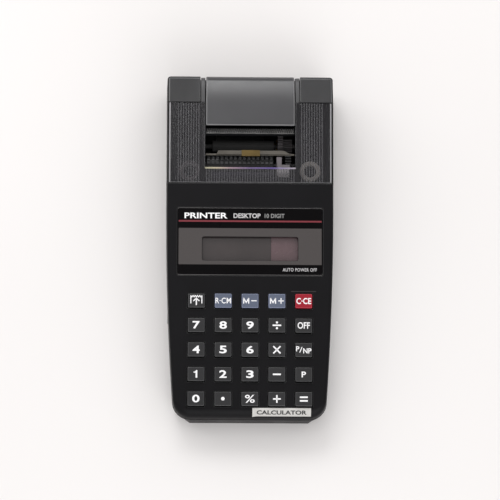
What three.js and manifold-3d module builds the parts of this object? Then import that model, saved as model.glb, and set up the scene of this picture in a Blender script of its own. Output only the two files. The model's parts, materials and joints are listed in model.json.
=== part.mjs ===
// Desk calculator with a built-in paper-tape printer.
// Millimetres, +Z up. X runs left to right, +Y runs from the user's edge to the printer end.
// The origin is the centre of the footprint, on the surface that the feet stand on.
import * as THREE from "three";
import { mergeVertices } from "three/addons/utils/BufferGeometryUtils.js";
import Module from "manifold-3d";

const wasm = await Module();
wasm.setup();

// ---------------------------------------------------------------- driving dimensions
const HALF_WIDTH = 42.4;
const FRONT_Y = -87.5;
const REAR_Y = 87.5;
const TAPER_START_Y = 22; // the sides are straight behind this line and close in before it
const TAPER_RADIUS = 1420;
const FRONT_CORNER = 9;
const REAR_CORNER = 2;
const HOLLOW_REAR_CORNER = 4; // the same corner on the inside
const GAP = 0.3; // least distance between pieces that meet
const WALL = 2;

const FLOOR_Z = 1; // underside of the lower case, carried by the feet
const SEAM_Z = 13; // where the two case halves meet
const DECK_FRONT_Z = 19.5; // height of the deck plane at the user's edge
const DECK_SLOPE = THREE.MathUtils.degToRad(5);
const RIDGE_Y = 72.45; // the deck rises to this line and falls behind it
const REAR_SLOPE = THREE.MathUtils.degToRad(12);
const SIDE_EDGE_RADIUS = 1.5;
const FRONT_EDGE_RADIUS = 5;
const CASE_DRAFT = 0.35;

const KEY_WIDTH = 8.4;
const KEY_DEPTH = 7.1;
const KEY_PITCH_X = 13.46;
const KEY_PITCH_Y = 12.34;
const FIRST_ROW = 9.3; // along the deck, from the user's edge to the bottom row's centre
const KEY_RISE = 1.6;
const KEY_HOLE_GAP = 0.4;
const KEY_BEVEL = 0.45;
const KEY_FLANGE = { reach: 0.8, top: -2.3, bottom: -3.0 };
const KEY_NAMES = [
  ["key_0", "key_point", "key_percent", "key_plus", "key_equals"],
  ["key_1", "key_2", "key_3", "key_minus", "key_print"],
  ["key_4", "key_5", "key_6", "key_multiply", "key_print_mode"],
  ["key_7", "key_8", "key_9", "key_divide", "key_off"],
  ["key_paper_feed", "key_memory_recall", "key_memory_minus", "key_memory_plus", "key_clear"],
];

const PANEL = { halfWidth: 36.4, centre: 89.0, halfDepth: 17.1, thickness: 1.0, proud: 0.1 };
const PANEL_RECESS = 1.2;
const LCD_WINDOW = { halfWidth: 24.1, centre: 85.3, halfDepth: 6.0, corner: 1.0 };
const LCD_GLASS = { halfWidth: 28, halfDepth: 10.5, top: -2.3, bottom: -4.2 };
const MAT = { halfWidth: 31.4, from: 3.6, to: 66, top: -4.6, bottom: -5.4 };
const BOARD = { halfWidth: 31.4, from: 3.6, to: 116, top: -5.7, bottom: -6.9 };

const BAY_FRONT_Y = 30.8; // the printer bay's opening in the upper case
const BAY_HALF_WIDTH = 41.5;
const COVER_THICKNESS = 1.6;
const COVER_FRONT_Y = BAY_FRONT_Y + 0.4;
const WINDOW_FRONT_Y = 39.3;
const WINDOW_HALF_WIDTH = 22.9;
const STRIP_HALF_WIDTH = 25.0;
const FLAP_FRONT_Y = 60.4;
const FLAP_HALF_WIDTH = 22.5;
const FLAP_PROUD = 0.5;
const REAR_ROUND = 4; // radius of the cover's turn down at the rear, and of the flap about its pins
const FLAP_PIN_RADIUS = 1.1;

const BATTERY_BAY = { halfWidth: 30.4, front: -29.0, rear: 30.0, wall: 1.2, top: 15 };
const CELL_RADIUS = 7.0;
const CELL_LENGTH = 50;
const CELL_COUNT = 4;
const DOOR = { halfWidth: 29.7, front: -28.2, rear: 29.15, thickness: 1.7 };

const SCREWS = [
  { name: "case_screw_front_left", x: -34.2, y: -72 },
  { name: "case_screw_front_right", x: 34.2, y: -72 },
  { name: "case_screw_rear_left", x: -34, y: 80 },
  { name: "case_screw_rear_right", x: 34, y: 80 },
];
const FEET = [
  { name: "foot_front_left", x: -27, y: -77 },
  { name: "foot_front_right", x: 27, y: -77 },
  { name: "foot_rear_left", x: -26, y: 79 },
  { name: "foot_rear_right", x: 26, y: 79 },
];
const FOOT_RADIUS = 4;
const JACK = { y: -33.5, z: 8.2, bore: 2.9, pin: 1.0, rim: 3.7 };

// Printer mechanism: axes run along X and are given as points in the YZ plane.
const MODULE = 0.5;
const TEETH = { drum: 26, feedSmall: 14, feedBig: 26, motor: 10 };
const DRUM = { y: 43.5, z: 16.5, radius: 6.5, left: -22, right: 12 };
const FEED_DIRECTION = THREE.MathUtils.degToRad(11);
const MOTOR_DIRECTION = THREE.MathUtils.degToRad(-69);
const INK_DIRECTION = THREE.MathUtils.degToRad(145);
const INK_RADIUS = 3.6;
const FEED_RADIUS = 3.0;
const MOTOR_RADIUS = 5.6;
const FRAME_INNER = 22.9;
const FRAME_OUTER = 24.5;
const GROMMET = { x: 30.7, y: 39.5, outer: 5.5, inner: 3.0, bottom: 18.8, top: 21.6 };

// ---------------------------------------------------------------- derived places
const deckHeight = (y) =>
  y <= RIDGE_Y
    ? DECK_FRONT_Z + Math.tan(DECK_SLOPE) * (y - FRONT_Y)
    : DECK_FRONT_Z + Math.tan(DECK_SLOPE) * (RIDGE_Y - FRONT_Y) - Math.tan(REAR_SLOPE) * (y - RIDGE_Y);

const hingeY = REAR_Y - FLAP_PROUD - REAR_ROUND;
const hinge = { y: hingeY, z: deckHeight(hingeY) - REAR_ROUND / Math.cos(REAR_SLOPE) };

const step = (from, angle, distance) => ({
  y: from.y + distance * Math.cos(angle),
  z: from.z + distance * Math.sin(angle),
});
const pitchRadius = (teeth) => (MODULE * teeth) / 2;
const feedAxis = step(DRUM, FEED_DIRECTION, pitchRadius(TEETH.drum) + pitchRadius(TEETH.feedSmall));
const motorAxis = step(feedAxis, MOTOR_DIRECTION, pitchRadius(TEETH.feedBig) + pitchRadius(TEETH.motor));
const inkAxis = step(DRUM, INK_DIRECTION, DRUM.radius + INK_RADIUS + GAP);

// The deck frame: x across, y along the deck from the user's edge, z out of the deck.
const deckFrame = new THREE.Matrix4()
  .makeTranslation(0, FRONT_Y, DECK_FRONT_Z)
  .multiply(new THREE.Matrix4().makeRotationX(DECK_SLOPE));

// ---------------------------------------------------------------- solid helpers
// A piece is a three.js geometry until it is joined or cut, and a manifold-3d solid after that.
function toSolid(geometry) {
  if (!geometry.isBufferGeometry) return geometry;
  const source = geometry.index ? geometry.toNonIndexed() : geometry;
  const bare = new THREE.BufferGeometry();
  bare.setAttribute("position", source.getAttribute("position").clone());
  const merged = mergeVertices(bare, 1e-4);
  return new wasm.Manifold(
    new wasm.Mesh({
      numProp: 3,
      vertProperties: merged.attributes.position.array,
      triVerts: new Uint32Array(merged.index.array),
    }),
  );
}

function toGeometry(solid) {
  const mesh = solid.getMesh();
  const geometry = new THREE.BufferGeometry();
  geometry.setAttribute("position", new THREE.BufferAttribute(new Float32Array(mesh.vertProperties), 3));
  geometry.setIndex(new THREE.BufferAttribute(new Uint32Array(mesh.triVerts), 1));
  return geometry;
}

const join = (first, ...others) =>
  others.reduce((sum, other) => sum.add(toSolid(other)), toSolid(first));

const cut = (body, ...tools) =>
  tools.reduce((rest, tool) => rest.subtract(toSolid(tool)), toSolid(body));

const overlapOf = (first, second) => toSolid(first).intersect(toSolid(second));

function box(x0, x1, y0, y1, z0, z1) {
  const geometry = new THREE.BoxGeometry(x1 - x0, y1 - y0, z1 - z0);
  return geometry.translate((x0 + x1) / 2, (y0 + y1) / 2, (z0 + z1) / 2);
}

const cylinderZ = (radius, x, y, z0, z1, sides = 20) =>
  new THREE.CylinderGeometry(radius, radius, z1 - z0, sides)
    .rotateX(Math.PI / 2)
    .translate(x, y, (z0 + z1) / 2);

const cylinderX = (radius, x0, x1, axis, sides = 20) =>
  new THREE.CylinderGeometry(radius, radius, x1 - x0, sides)
    .rotateZ(Math.PI / 2)
    .translate((x0 + x1) / 2, axis.y, axis.z);

const shapeOf = (points) => new THREE.Shape(points.map(([a, b]) => new THREE.Vector2(a, b)));

// A YZ outline pushed along X: the shape's own axes x, y, z become the part's y, z, x.
const alongX = (points, x0, x1) =>
  new THREE.ExtrudeGeometry(shapeOf(points), { depth: x1 - x0, bevelEnabled: false })
    .applyMatrix4(new THREE.Matrix4().set(0, 0, 1, x0, 1, 0, 0, 0, 0, 1, 0, 0, 0, 0, 0, 1));

const alongZ = (shape, z0, z1, curveSegments = 6) =>
  new THREE.ExtrudeGeometry(shape, { depth: z1 - z0, bevelEnabled: false, curveSegments })
    .translate(0, 0, z0);

function roundedRectangle(halfX, halfY, radius, centreY = 0) {
  const shape = new THREE.Shape();
  shape.absarc(halfX - radius, centreY + halfY - radius, radius, 0, Math.PI / 2);
  shape.absarc(-halfX + radius, centreY + halfY - radius, radius, Math.PI / 2, Math.PI);
  shape.absarc(-halfX + radius, centreY - halfY + radius, radius, Math.PI, 1.5 * Math.PI);
  shape.absarc(halfX - radius, centreY - halfY + radius, radius, 1.5 * Math.PI, 2 * Math.PI);
  shape.closePath();
  return shape;
}

const onDeck = (geometry) => geometry.applyMatrix4(deckFrame);

function arcPoints(centre, radius, fromDegrees, toDegrees, steps) {
  return Array.from({ length: steps + 1 }, (_, i) => {
    const angle = THREE.MathUtils.degToRad(fromDegrees + ((toDegrees - fromDegrees) * i) / steps);
    return [centre.y + radius * Math.cos(angle), centre.z + radius * Math.sin(angle)];
  });
}

// ---------------------------------------------------------------- the case's outline
// The right-hand side from the user's edge to the rear, as points with outward normals.
function rightSide(rearCorner) {
  const big = { x: HALF_WIDTH - TAPER_RADIUS, y: TAPER_START_Y };
  const cornerY = FRONT_Y + FRONT_CORNER;
  const lean = Math.asin((TAPER_START_Y - cornerY) / (TAPER_RADIUS - FRONT_CORNER));
  const cornerX = big.x + (TAPER_RADIUS - FRONT_CORNER) * Math.cos(lean);
  const arc = (x, y, radius, from, to, steps) =>
    Array.from({ length: steps + 1 }, (_, i) => {
      const angle = from + ((to - from) * i) / steps;
      const normal = new THREE.Vector2(Math.cos(angle), Math.sin(angle));
      return { x: x + radius * normal.x, y: y + radius * normal.y, normal };
    });
  const flat = (y) => ({ x: HALF_WIDTH, y, normal: new THREE.Vector2(1, 0) });
  return [
    ...arc(cornerX, cornerY, FRONT_CORNER, -Math.PI / 2, -lean, 6),
    ...arc(big.x, big.y, TAPER_RADIUS, -lean, 0, 5).slice(1),
    flat(BAY_FRONT_Y),
    flat(RIDGE_Y),
    ...arc(HALF_WIDTH - rearCorner, REAR_Y - rearCorner, rearCorner, 0, Math.PI / 2, 4),
  ];
}

// A closed body from rings of {inset, height(y, normal)} stacked upwards on the outline.
function stack(rings, rearCorner) {
  const side = rightSide(rearCorner);
  const count = side.length;
  const position = [];
  for (const ring of rings) {
    const right = side.map(({ x, y, normal }) => {
      const inset = ring.inset(normal);
      const inY = y - inset * normal.y;
      return [x - inset * normal.x, inY, ring.height(inY, normal)];
    });
    position.push(...right, ...right.map(([x, y, z]) => [-x, y, z]).reverse());
  }
  const index = [];
  const loop = 2 * count;
  for (let r = 0; r + 1 < rings.length; r += 1) {
    for (let i = 0; i < loop; i += 1) {
      const a = r * loop + i;
      const b = r * loop + ((i + 1) % loop);
      index.push(a, b, b + loop, a, b + loop, a + loop);
    }
  }
  const top = (rings.length - 1) * loop;
  for (let i = 0; i + 1 < count; i += 1) {
    const [right, nextRight, nextLeft, left] = [i, i + 1, loop - 2 - i, loop - 1 - i];
    index.push(right, left, nextLeft, right, nextLeft, nextRight);
    index.push(top + right, top + nextRight, top + nextLeft, top + right, top + nextLeft, top + left);
  }
  const geometry = new THREE.BufferGeometry();
  geometry.setAttribute("position", new THREE.Float32BufferAttribute(position.flat(), 3));
  geometry.setIndex(index);
  return geometry;
}

const edgeRadius = (normal) =>
  SIDE_EDGE_RADIUS + (FRONT_EDGE_RADIUS - SIDE_EDGE_RADIUS) * Math.max(0, -normal.y);

// The upper case's form, or with a wall its hollow, from a flat bottom up to the rounded deck.
function upperForm(bottom, wall) {
  const radius = (normal) => Math.max(0.2, edgeRadius(normal) - wall);
  const turns = [0, 30, 60, 90].map(THREE.MathUtils.degToRad);
  const rings = turns.map((turn) => ({
    inset: (normal) => wall + CASE_DRAFT + radius(normal) * (1 - Math.cos(turn)),
    height: (y, normal) => deckHeight(y) - wall - radius(normal) * (1 - Math.sin(turn)),
  }));
  const rearCorner = wall > 0 ? HOLLOW_REAR_CORNER : REAR_CORNER;
  return stack([{ inset: () => wall, height: () => bottom }, ...rings], rearCorner);
}

// The lower case's form from levels of [inset, height, further inset at the two front corners].
function lowerForm(levels, rearCorner) {
  const rings = levels.map(([inset, z, corner]) => ({
    inset: (normal) => inset + corner * 2 * Math.abs(normal.x) * Math.max(0, -normal.y),
    height: () => z,
  }));
  return stack(rings, rearCorner);
}

// ---------------------------------------------------------------- case halves
const keyPlaces = KEY_NAMES.flatMap((names, row) =>
  names.map((name, column) => ({
    name,
    x: (column - 2) * KEY_PITCH_X,
    y: FIRST_ROW + row * KEY_PITCH_Y,
  })),
);

function upperCase() {
  const shell = cut(upperForm(SEAM_Z + GAP / 2, 0), upperForm(SEAM_Z - 1, WALL));
  const bosses = SCREWS.map(({ x, y }) =>
    overlapOf(cylinderZ(2.4, x, y, SEAM_Z + GAP / 2, 40, 12), upperForm(SEAM_Z, WALL / 2)),
  );
  const pilots = SCREWS.map(({ x, y }) => cylinderZ(1.6, x, y, SEAM_Z - 1, 18, 10));
  const keyHoles = keyPlaces.map(({ x, y }) => {
    const halfX = KEY_WIDTH / 2 + KEY_HOLE_GAP;
    const halfY = KEY_DEPTH / 2 + KEY_HOLE_GAP;
    return onDeck(box(x - halfX, x + halfX, y - halfY, y + halfY, -6, 4));
  });
  const room = PANEL.halfWidth + GAP;
  const depth = PANEL.halfDepth + GAP;
  const panelRecess = onDeck(
    box(-room, room, PANEL.centre - depth, PANEL.centre + depth, -PANEL_RECESS, 3),
  );
  const lcdHole = onDeck(
    box(
      -LCD_WINDOW.halfWidth - 1.4,
      LCD_WINDOW.halfWidth + 1.4,
      LCD_WINDOW.centre - LCD_WINDOW.halfDepth - 1.3,
      LCD_WINDOW.centre + LCD_WINDOW.halfDepth + 1.3,
      -6,
      2,
    ),
  );
  const bay = box(-BAY_HALF_WIDTH, BAY_HALF_WIDTH, BAY_FRONT_Y, RIDGE_Y, SEAM_Z + 8, 60);
  const flapSlot = box(
    -STRIP_HALF_WIDTH - GAP,
    STRIP_HALF_WIDTH + GAP,
    RIDGE_Y - 1,
    REAR_Y + 5,
    hinge.z - REAR_ROUND - GAP,
    60,
  );
  const ledges = [-1, 1].map((side) => {
    const [x0, x1] = [side * (BAY_HALF_WIDTH - 1.8), side * (BAY_HALF_WIDTH + 0.4)].sort((a, b) => a - b);
    const level = deckHeight(BAY_FRONT_Y) - 7;
    return box(x0, x1, 44, 60, level - 1.4, level);
  });
  const body = cut(join(shell, ...bosses), bay, flapSlot, panelRecess, lcdHole, ...keyHoles, ...pilots);
  return join(body, ...ledges);
}

function lowerCase() {
  const outside = lowerForm(
    [[1.7, FLOOR_Z, 2.2], [0.9, 1.5, 2.2], [0.4, 2.6, 2.1], [0, SEAM_Z - GAP / 2, 0]],
    REAR_CORNER,
  );
  const inside = lowerForm(
    [[3.6, FLOOR_Z + WALL, 2.2], [2.4, 4.4, 2.1], [WALL, SEAM_Z + 1, 0]],
    HOLLOW_REAR_CORNER,
  );
  const { halfWidth, front, rear, wall, top } = BATTERY_BAY;
  const bayWalls = cut(
    box(-halfWidth - wall, halfWidth + wall, front - wall, rear + wall, 2.5, top),
    box(-halfWidth, halfWidth, front, rear, 0, top + 1),
  );
  const rollWalls = [-1, 1].map((side) => {
    const [x0, x1] = [side * 22.7, side * 24.3].sort((a, b) => a - b);
    return box(x0, x1, 61.2, REAR_Y - WALL - 0.4, 2.5, 18);
  });
  const bosses = SCREWS.map(({ x, y }) => cylinderZ(3.2, x, y, 2.5, SEAM_Z - GAP / 2, 14));
  const posts = [-1, 1].map((side) => cylinderZ(2.4, side * GROMMET.x, GROMMET.y, 2.5, 20.6, 14));
  const screwHoles = SCREWS.flatMap(({ x, y }) => [
    cylinderZ(2.5, x, y, 0, 5.6, 14),
    cylinderZ(1.6, x, y, 0, 20, 10),
  ]);
  const footPockets = FEET.map(({ x, y }) => cylinderZ(FOOT_RADIUS + GAP, x, y, 0, FLOOR_Z + 1, 20));
  const doorway = box(
    -DOOR.halfWidth - GAP,
    DOOR.halfWidth + GAP,
    DOOR.front - GAP,
    DOOR.rear + GAP,
    0,
    FLOOR_Z + WALL + 1,
  );
  const jackRim = cylinderX(JACK.rim, -HALF_WIDTH + 1.05, -HALF_WIDTH + 3, JACK, 20);
  const jackHole = cylinderX(JACK.bore + GAP, -60, -36, JACK, 20);
  const shell = cut(outside, inside);
  const body = join(shell, bayWalls, ...rollWalls, ...bosses, ...posts, jackRim);
  return cut(body, doorway, jackHole, ...screwHoles, ...footPockets);
}

// ---------------------------------------------------------------- keys and display
// A hollow cap with a bevelled top and a flange that the upper case holds down, about its own centre.
function keyCap() {
  const block = (halfX, halfY, z0, z1) => box(-halfX, halfX, -halfY, halfY, z0, z1);
  const halfX = KEY_WIDTH / 2;
  const halfY = KEY_DEPTH / 2;
  const waist = KEY_RISE - KEY_BEVEL;
  const crown = new THREE.CylinderGeometry(Math.SQRT1_2, Math.SQRT1_2, 1, 4).rotateY(Math.PI / 4);
  crown.rotateX(Math.PI / 2);
  const at = crown.getAttribute("position");
  for (let i = 0; i < at.count; i += 1) {
    const upper = at.getZ(i) > 0;
    const scale = upper ? KEY_BEVEL : 0;
    const x = Math.sign(Math.round(at.getX(i) * 4)) * (halfX - scale);
    const y = Math.sign(Math.round(at.getY(i) * 4)) * (halfY - scale);
    at.setXYZ(i, x, y, upper ? KEY_RISE : waist - 0.01);
  }
  const solid = join(
    block(halfX, halfY, KEY_FLANGE.bottom, waist),
    crown,
    block(halfX + KEY_FLANGE.reach, halfY, KEY_FLANGE.bottom, KEY_FLANGE.top),
  );
  return cut(solid, block(halfX - 1.1, halfY - 1.1, KEY_FLANGE.bottom - 1, 0.4));
}

function displayPanel() {
  const outline = roundedRectangle(PANEL.halfWidth, PANEL.halfDepth, 0.6, PANEL.centre);
  outline.holes.push(
    roundedRectangle(
      LCD_WINDOW.halfWidth,
      LCD_WINDOW.halfDepth,
      LCD_WINDOW.corner,
      LCD_WINDOW.centre,
    ),
  );
  return alongZ(outline, PANEL.proud - PANEL.thickness, PANEL.proud, 3);
}

const lcdGlass = () =>
  box(
    -LCD_GLASS.halfWidth,
    LCD_GLASS.halfWidth,
    LCD_WINDOW.centre - LCD_GLASS.halfDepth,
    LCD_WINDOW.centre + LCD_GLASS.halfDepth,
    LCD_GLASS.bottom,
    LCD_GLASS.top,
  );

const lcdConnector = () =>
  box(-27, 27, LCD_WINDOW.centre - 9.8, LCD_WINDOW.centre - 7.6, BOARD.top + GAP, LCD_GLASS.bottom - GAP);

// The rubber sheet, with its domes at the height they are pressed to.
function keyMat() {
  const sheet = box(-MAT.halfWidth, MAT.halfWidth, MAT.from, MAT.to, MAT.bottom, MAT.top);
  const domes = keyPlaces.map(({ x, y }) =>
    new THREE.CylinderGeometry(1.5, 2.2, 3.2, 6).rotateX(Math.PI / 2).translate(x, y, MAT.top + 1.5),
  );
  return join(sheet, ...domes);
}

function mainBoard() {
  const board = box(-BOARD.halfWidth, BOARD.halfWidth, BOARD.from, BOARD.to, BOARD.bottom, BOARD.top);
  const under = (x0, x1, y0, y1, height) =>
    box(x0, x1, y0, y1, BOARD.bottom - height, BOARD.bottom + 0.2);
  return join(
    board,
    under(-9, 9, 96, 110, 1.6),
    under(15, 22, 98, 104, 1.4),
    under(-24, -17, 99, 109, 1.2),
    box(-26, -10, 110, 114, BOARD.top - 0.2, BOARD.top + 2.4),
  );
}

// ---------------------------------------------------------------- power
const cellX = (index) => (index - (CELL_COUNT - 1) / 2) * (2 * CELL_RADIUS - 0.1);
const batteryMiddleY = (BATTERY_BAY.front + BATTERY_BAY.rear) / 2;
const cellZ = FLOOR_Z + DOOR.thickness + 0.6 + CELL_RADIUS;

function batteryPack() {
  const cells = Array.from({ length: CELL_COUNT }, (_, i) =>
    new THREE.CylinderGeometry(CELL_RADIUS, CELL_RADIUS, CELL_LENGTH, 16)
      .translate(cellX(i), batteryMiddleY, cellZ),
  );
  return join(...cells);
}

// A contact strip across the bay's end with a spring finger or a button facing each outer cell.
function contactStrip(end, reach) {
  const wallY = end > 0 ? BATTERY_BAY.rear - GAP : BATTERY_BAY.front + GAP;
  const between = (a, b) => [Math.min(a, b), Math.max(a, b)];
  const [y0, y1] = between(wallY, wallY - end * 0.5);
  const [f0, f1] = between(wallY - end * 0.3, wallY - end * reach);
  const strip = box(-26, 26, y0, y1, 6, 13.5);
  const fingers = [0, CELL_COUNT - 1].map((i) =>
    new THREE.CylinderGeometry(end > 0 ? 2.4 : 1.2, 3.4, f1 - f0, 12)
      .rotateX(end > 0 ? Math.PI : 0)
      .translate(cellX(i), (f0 + f1) / 2, cellZ - 0.4),
  );
  return join(strip, ...fingers);
}

function batteryDoor() {
  const mid = FLOOR_Z + DOOR.thickness / 2;
  const radius = DOOR.thickness / 2;
  const pivot = { y: DOOR.rear - radius, z: mid };
  const profile = [
    [DOOR.front, FLOOR_Z],
    ...arcPoints(pivot, radius, -90, 90, 6),
    [DOOR.front, FLOOR_Z + DOOR.thickness],
  ];
  const plate = alongX(profile, -DOOR.halfWidth, DOOR.halfWidth);
  const grip = box(-6, 6, DOOR.front + 3, DOOR.front + 5.5, FLOOR_Z - 1, FLOOR_Z + 0.6);
  return cut(plate, grip, grip.clone().translate(0, 4.2, 0));
}

function dcJack() {
  const body = box(-38.3, -32.2, JACK.y - 4.4, JACK.y + 4.4, 4.6, 12.2);
  const bore = cylinderX(JACK.bore, -45, -33.6, JACK, 20);
  const pin = cylinderX(JACK.pin, -37.8, -32, JACK, 10);
  return join(cut(body, bore), pin);
}

function caseScrew({ x, y }) {
  const head = cylinderZ(2.1, x, y, 3.4, 5.2, 14);
  const shank = cylinderZ(1.25, x, y, 5.1, 16.5, 10);
  const slots = [box(x - 1.5, x + 1.5, y - 0.3, y + 0.3, 3, 4.3), box(x - 0.3, x + 0.3, y - 1.5, y + 1.5, 3, 4.3)];
  return cut(join(head, shank), ...slots);
}

const foot = ({ x, y }) =>
  new THREE.LatheGeometry(
    [[0, 0], [3.4, 0], [FOOT_RADIUS, 0.5], [FOOT_RADIUS, 1.7], [0, 1.7]].map(
      ([r, z]) => new THREE.Vector2(r, z),
    ),
    20,
  ).rotateX(Math.PI / 2).translate(x, y, 0);

// ---------------------------------------------------------------- printer mechanism
// Involute teeth, three points a flank, with a little backlash. turn puts a tooth at that angle.
function gear(teeth, turn, x0, x1, axis) {
  const pitch = pitchRadius(teeth);
  const base = pitch * Math.cos(THREE.MathUtils.degToRad(20));
  const involute = (r) => {
    const a = Math.acos(Math.min(1, base / r));
    return Math.tan(a) - a;
  };
  const halfAt = (r) => Math.PI / (2 * teeth) - 0.1 / pitch + involute(pitch) - involute(Math.max(base, r));
  const radii = [pitch - 1.3 * MODULE, pitch - 0.1 * MODULE, pitch + 0.8 * MODULE];
  const points = [];
  for (let i = 0; i < teeth; i += 1) {
    const middle = turn + (2 * Math.PI * i) / teeth;
    const flank = radii.map((r) => [r, halfAt(r)]);
    const rising = flank.map(([r, half]) => [r, middle - half]);
    const falling = flank.map(([r, half]) => [r, middle + half]).reverse();
    points.push(...rising, ...falling);
  }
  return alongX(
    points.map(([r, angle]) => [axis.y + r * Math.cos(angle), axis.z + r * Math.sin(angle)]),
    x0,
    x1,
  );
}

// The angle of a tooth on the second gear that lets it mesh with a first gear turned by firstTurn.
function meshTurn(firstTeeth, firstTurn, direction, secondTeeth) {
  const phase = ((direction - firstTurn) * firstTeeth) / (2 * Math.PI);
  return direction + Math.PI + ((phase + 0.5) * 2 * Math.PI) / secondTeeth;
}

const drumTurn = 0;
const feedTurn = meshTurn(TEETH.drum, drumTurn, FEED_DIRECTION, TEETH.feedSmall);
const bigTurn = 0;
const motorTurn = meshTurn(TEETH.feedBig, bigTurn, MOTOR_DIRECTION, TEETH.motor);

// The type wheels' barrel, its shaft and its gear turn as one.
const typeDrum = () =>
  join(
    cylinderX(DRUM.radius, DRUM.left, DRUM.right, DRUM, 24),
    cylinderX(1.5, -24.2, 24.2, DRUM, 12),
    gear(TEETH.drum, drumTurn, 17.9, 21.0, DRUM),
  );

const feedRoller = () =>
  join(cylinderX(FEED_RADIUS, -19, 12.4, feedAxis, 16), cylinderX(1.2, -24.2, 13.6, feedAxis, 10));

// The compound gear that the motor drives, with its own stub to the right-hand plate.
const feedGear = () =>
  join(
    gear(TEETH.feedBig, bigTurn, 14.2, 16.8, feedAxis),
    gear(TEETH.feedSmall, feedTurn, 16.7, 21.6, feedAxis),
    cylinderX(1.2, 13.9, 24.2, feedAxis, 10),
  );

const motorPinion = () =>
  join(gear(TEETH.motor, motorTurn, 13.7, 17.3, motorAxis), cylinderX(0.9, 8.4, 13.8, motorAxis, 10));

const printerMotor = () =>
  join(
    cylinderX(MOTOR_RADIUS, -17, 7.4, motorAxis, 24),
    cylinderX(2.0, 7.3, 8.1, motorAxis, 14),
    cylinderX(2.2, -18.2, -16.9, motorAxis, 14),
  );

const inkRoller = () =>
  join(cylinderX(INK_RADIUS, -20, 11.6, inkAxis, 18), cylinderX(1.0, -22.4, 22.4, inkAxis, 10));

// Side plates, floor, the bar behind the tear blade and mounting ears, moulded as one frame.
function printerFrame() {
  const outline = [
    [31.9, 3.4], [60.2, 3.4], [60.2, 26.6], [57.6, 28.6], [50, 26.4], [44, 27.2], [32.4, 26.6], [31.9, 24],
  ];
  const plates = [alongX(outline, -FRAME_OUTER, -FRAME_INNER), alongX(outline, FRAME_INNER, FRAME_OUTER)];
  const floor = box(-FRAME_OUTER, FRAME_OUTER, 33, 60, 3.4, 4.1);
  const back = alongX([[56.6, 26.6], [59.6, 26.6], [59.6, 29.9], [56.6, 29.3]], -FRAME_OUTER, FRAME_OUTER);
  const ears = [-1, 1].map((side) => {
    const [x0, x1] = [side * (FRAME_OUTER - 0.2), side * 36.4].sort((a, b) => a - b);
    return box(x0, x1, 34, 45, 16.9, 18.5);
  });
  const earHoles = [-1, 1].map((side) =>
    cylinderZ(2.9, side * GROMMET.x, GROMMET.y, 10, 25, 16),
  );
  const shaftHoles = [
    cylinderX(1.8, -30, 30, DRUM, 14),
    cylinderX(1.5, -30, 30, feedAxis, 14),
    cylinderX(1.3, -23.2, 23.2, inkAxis, 12),
  ];
  const frame = join(...plates, floor, back, ...ears);
  return cut(frame, ...earHoles, ...shaftHoles);
}

// A steel strip lying in the window with a saw-toothed rear edge.
function tearBar() {
  const teeth = 40;
  const half = 22.2;
  const pitch = (2 * half) / teeth;
  const outline = [[-half, 0], [half, 0], [half, 1.5]];
  for (let i = 0; i < teeth; i += 1) {
    outline.push([half - (i + 0.5) * pitch, 2.5], [half - (i + 1) * pitch, 1.5]);
  }
  return alongZ(shapeOf(outline), 0, 0.5);
}

// The bar that turns the paper up from the feed roller, with a thinner rod below it.
const paperGuide = () =>
  join(box(-17, 18, 46.9, 49.0, 25.6, 26.5), box(-22.6, 22.6, 46.5, 47.5, 25.0, 25.8));

const guideClip = () =>
  join(box(-4.3, 5, 45.9, 49.0, 26.8, 27.1), box(-4.3, 5, 45.9, 46.2, 25.4, 26.9));

// The handle that lifts the ink roller out: a block with one raised arm.
const inkLever = () =>
  join(
    box(13.4, 20.2, 34.6, 41.6, 24.6, 26.6),
    box(13.4, 16.1, 41.4, 45.6, 24.6, 26.6),
    box(14.2, 19.4, 34.6, 35.8, 25, 27.6),
  );

const grommet = (side) =>
  new THREE.LatheGeometry(
    [
      [GROMMET.inner, GROMMET.bottom],
      [GROMMET.outer, GROMMET.bottom],
      [GROMMET.outer, GROMMET.top - 0.5],
      [GROMMET.outer - 0.5, GROMMET.top],
      [GROMMET.inner, GROMMET.top],
      [GROMMET.inner, GROMMET.bottom],
    ].map(([r, z]) => new THREE.Vector2(r, z)),
    24,
  ).rotateX(Math.PI / 2).translate(side * GROMMET.x, GROMMET.y, 0);

// ---------------------------------------------------------------- cover and flap
// Points of the deck's profile from a front line over the ridge and round the rear, lowered by depth.
function overTheTop(frontY, lift, lowestDegrees) {
  const radius = REAR_ROUND + lift;
  return [
    [frontY, deckHeight(frontY) + lift],
    [RIDGE_Y, deckHeight(RIDGE_Y) + lift],
    ...arcPoints(hinge, radius, 90 - THREE.MathUtils.radToDeg(REAR_SLOPE), lowestDegrees, 7),
  ];
}

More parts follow.
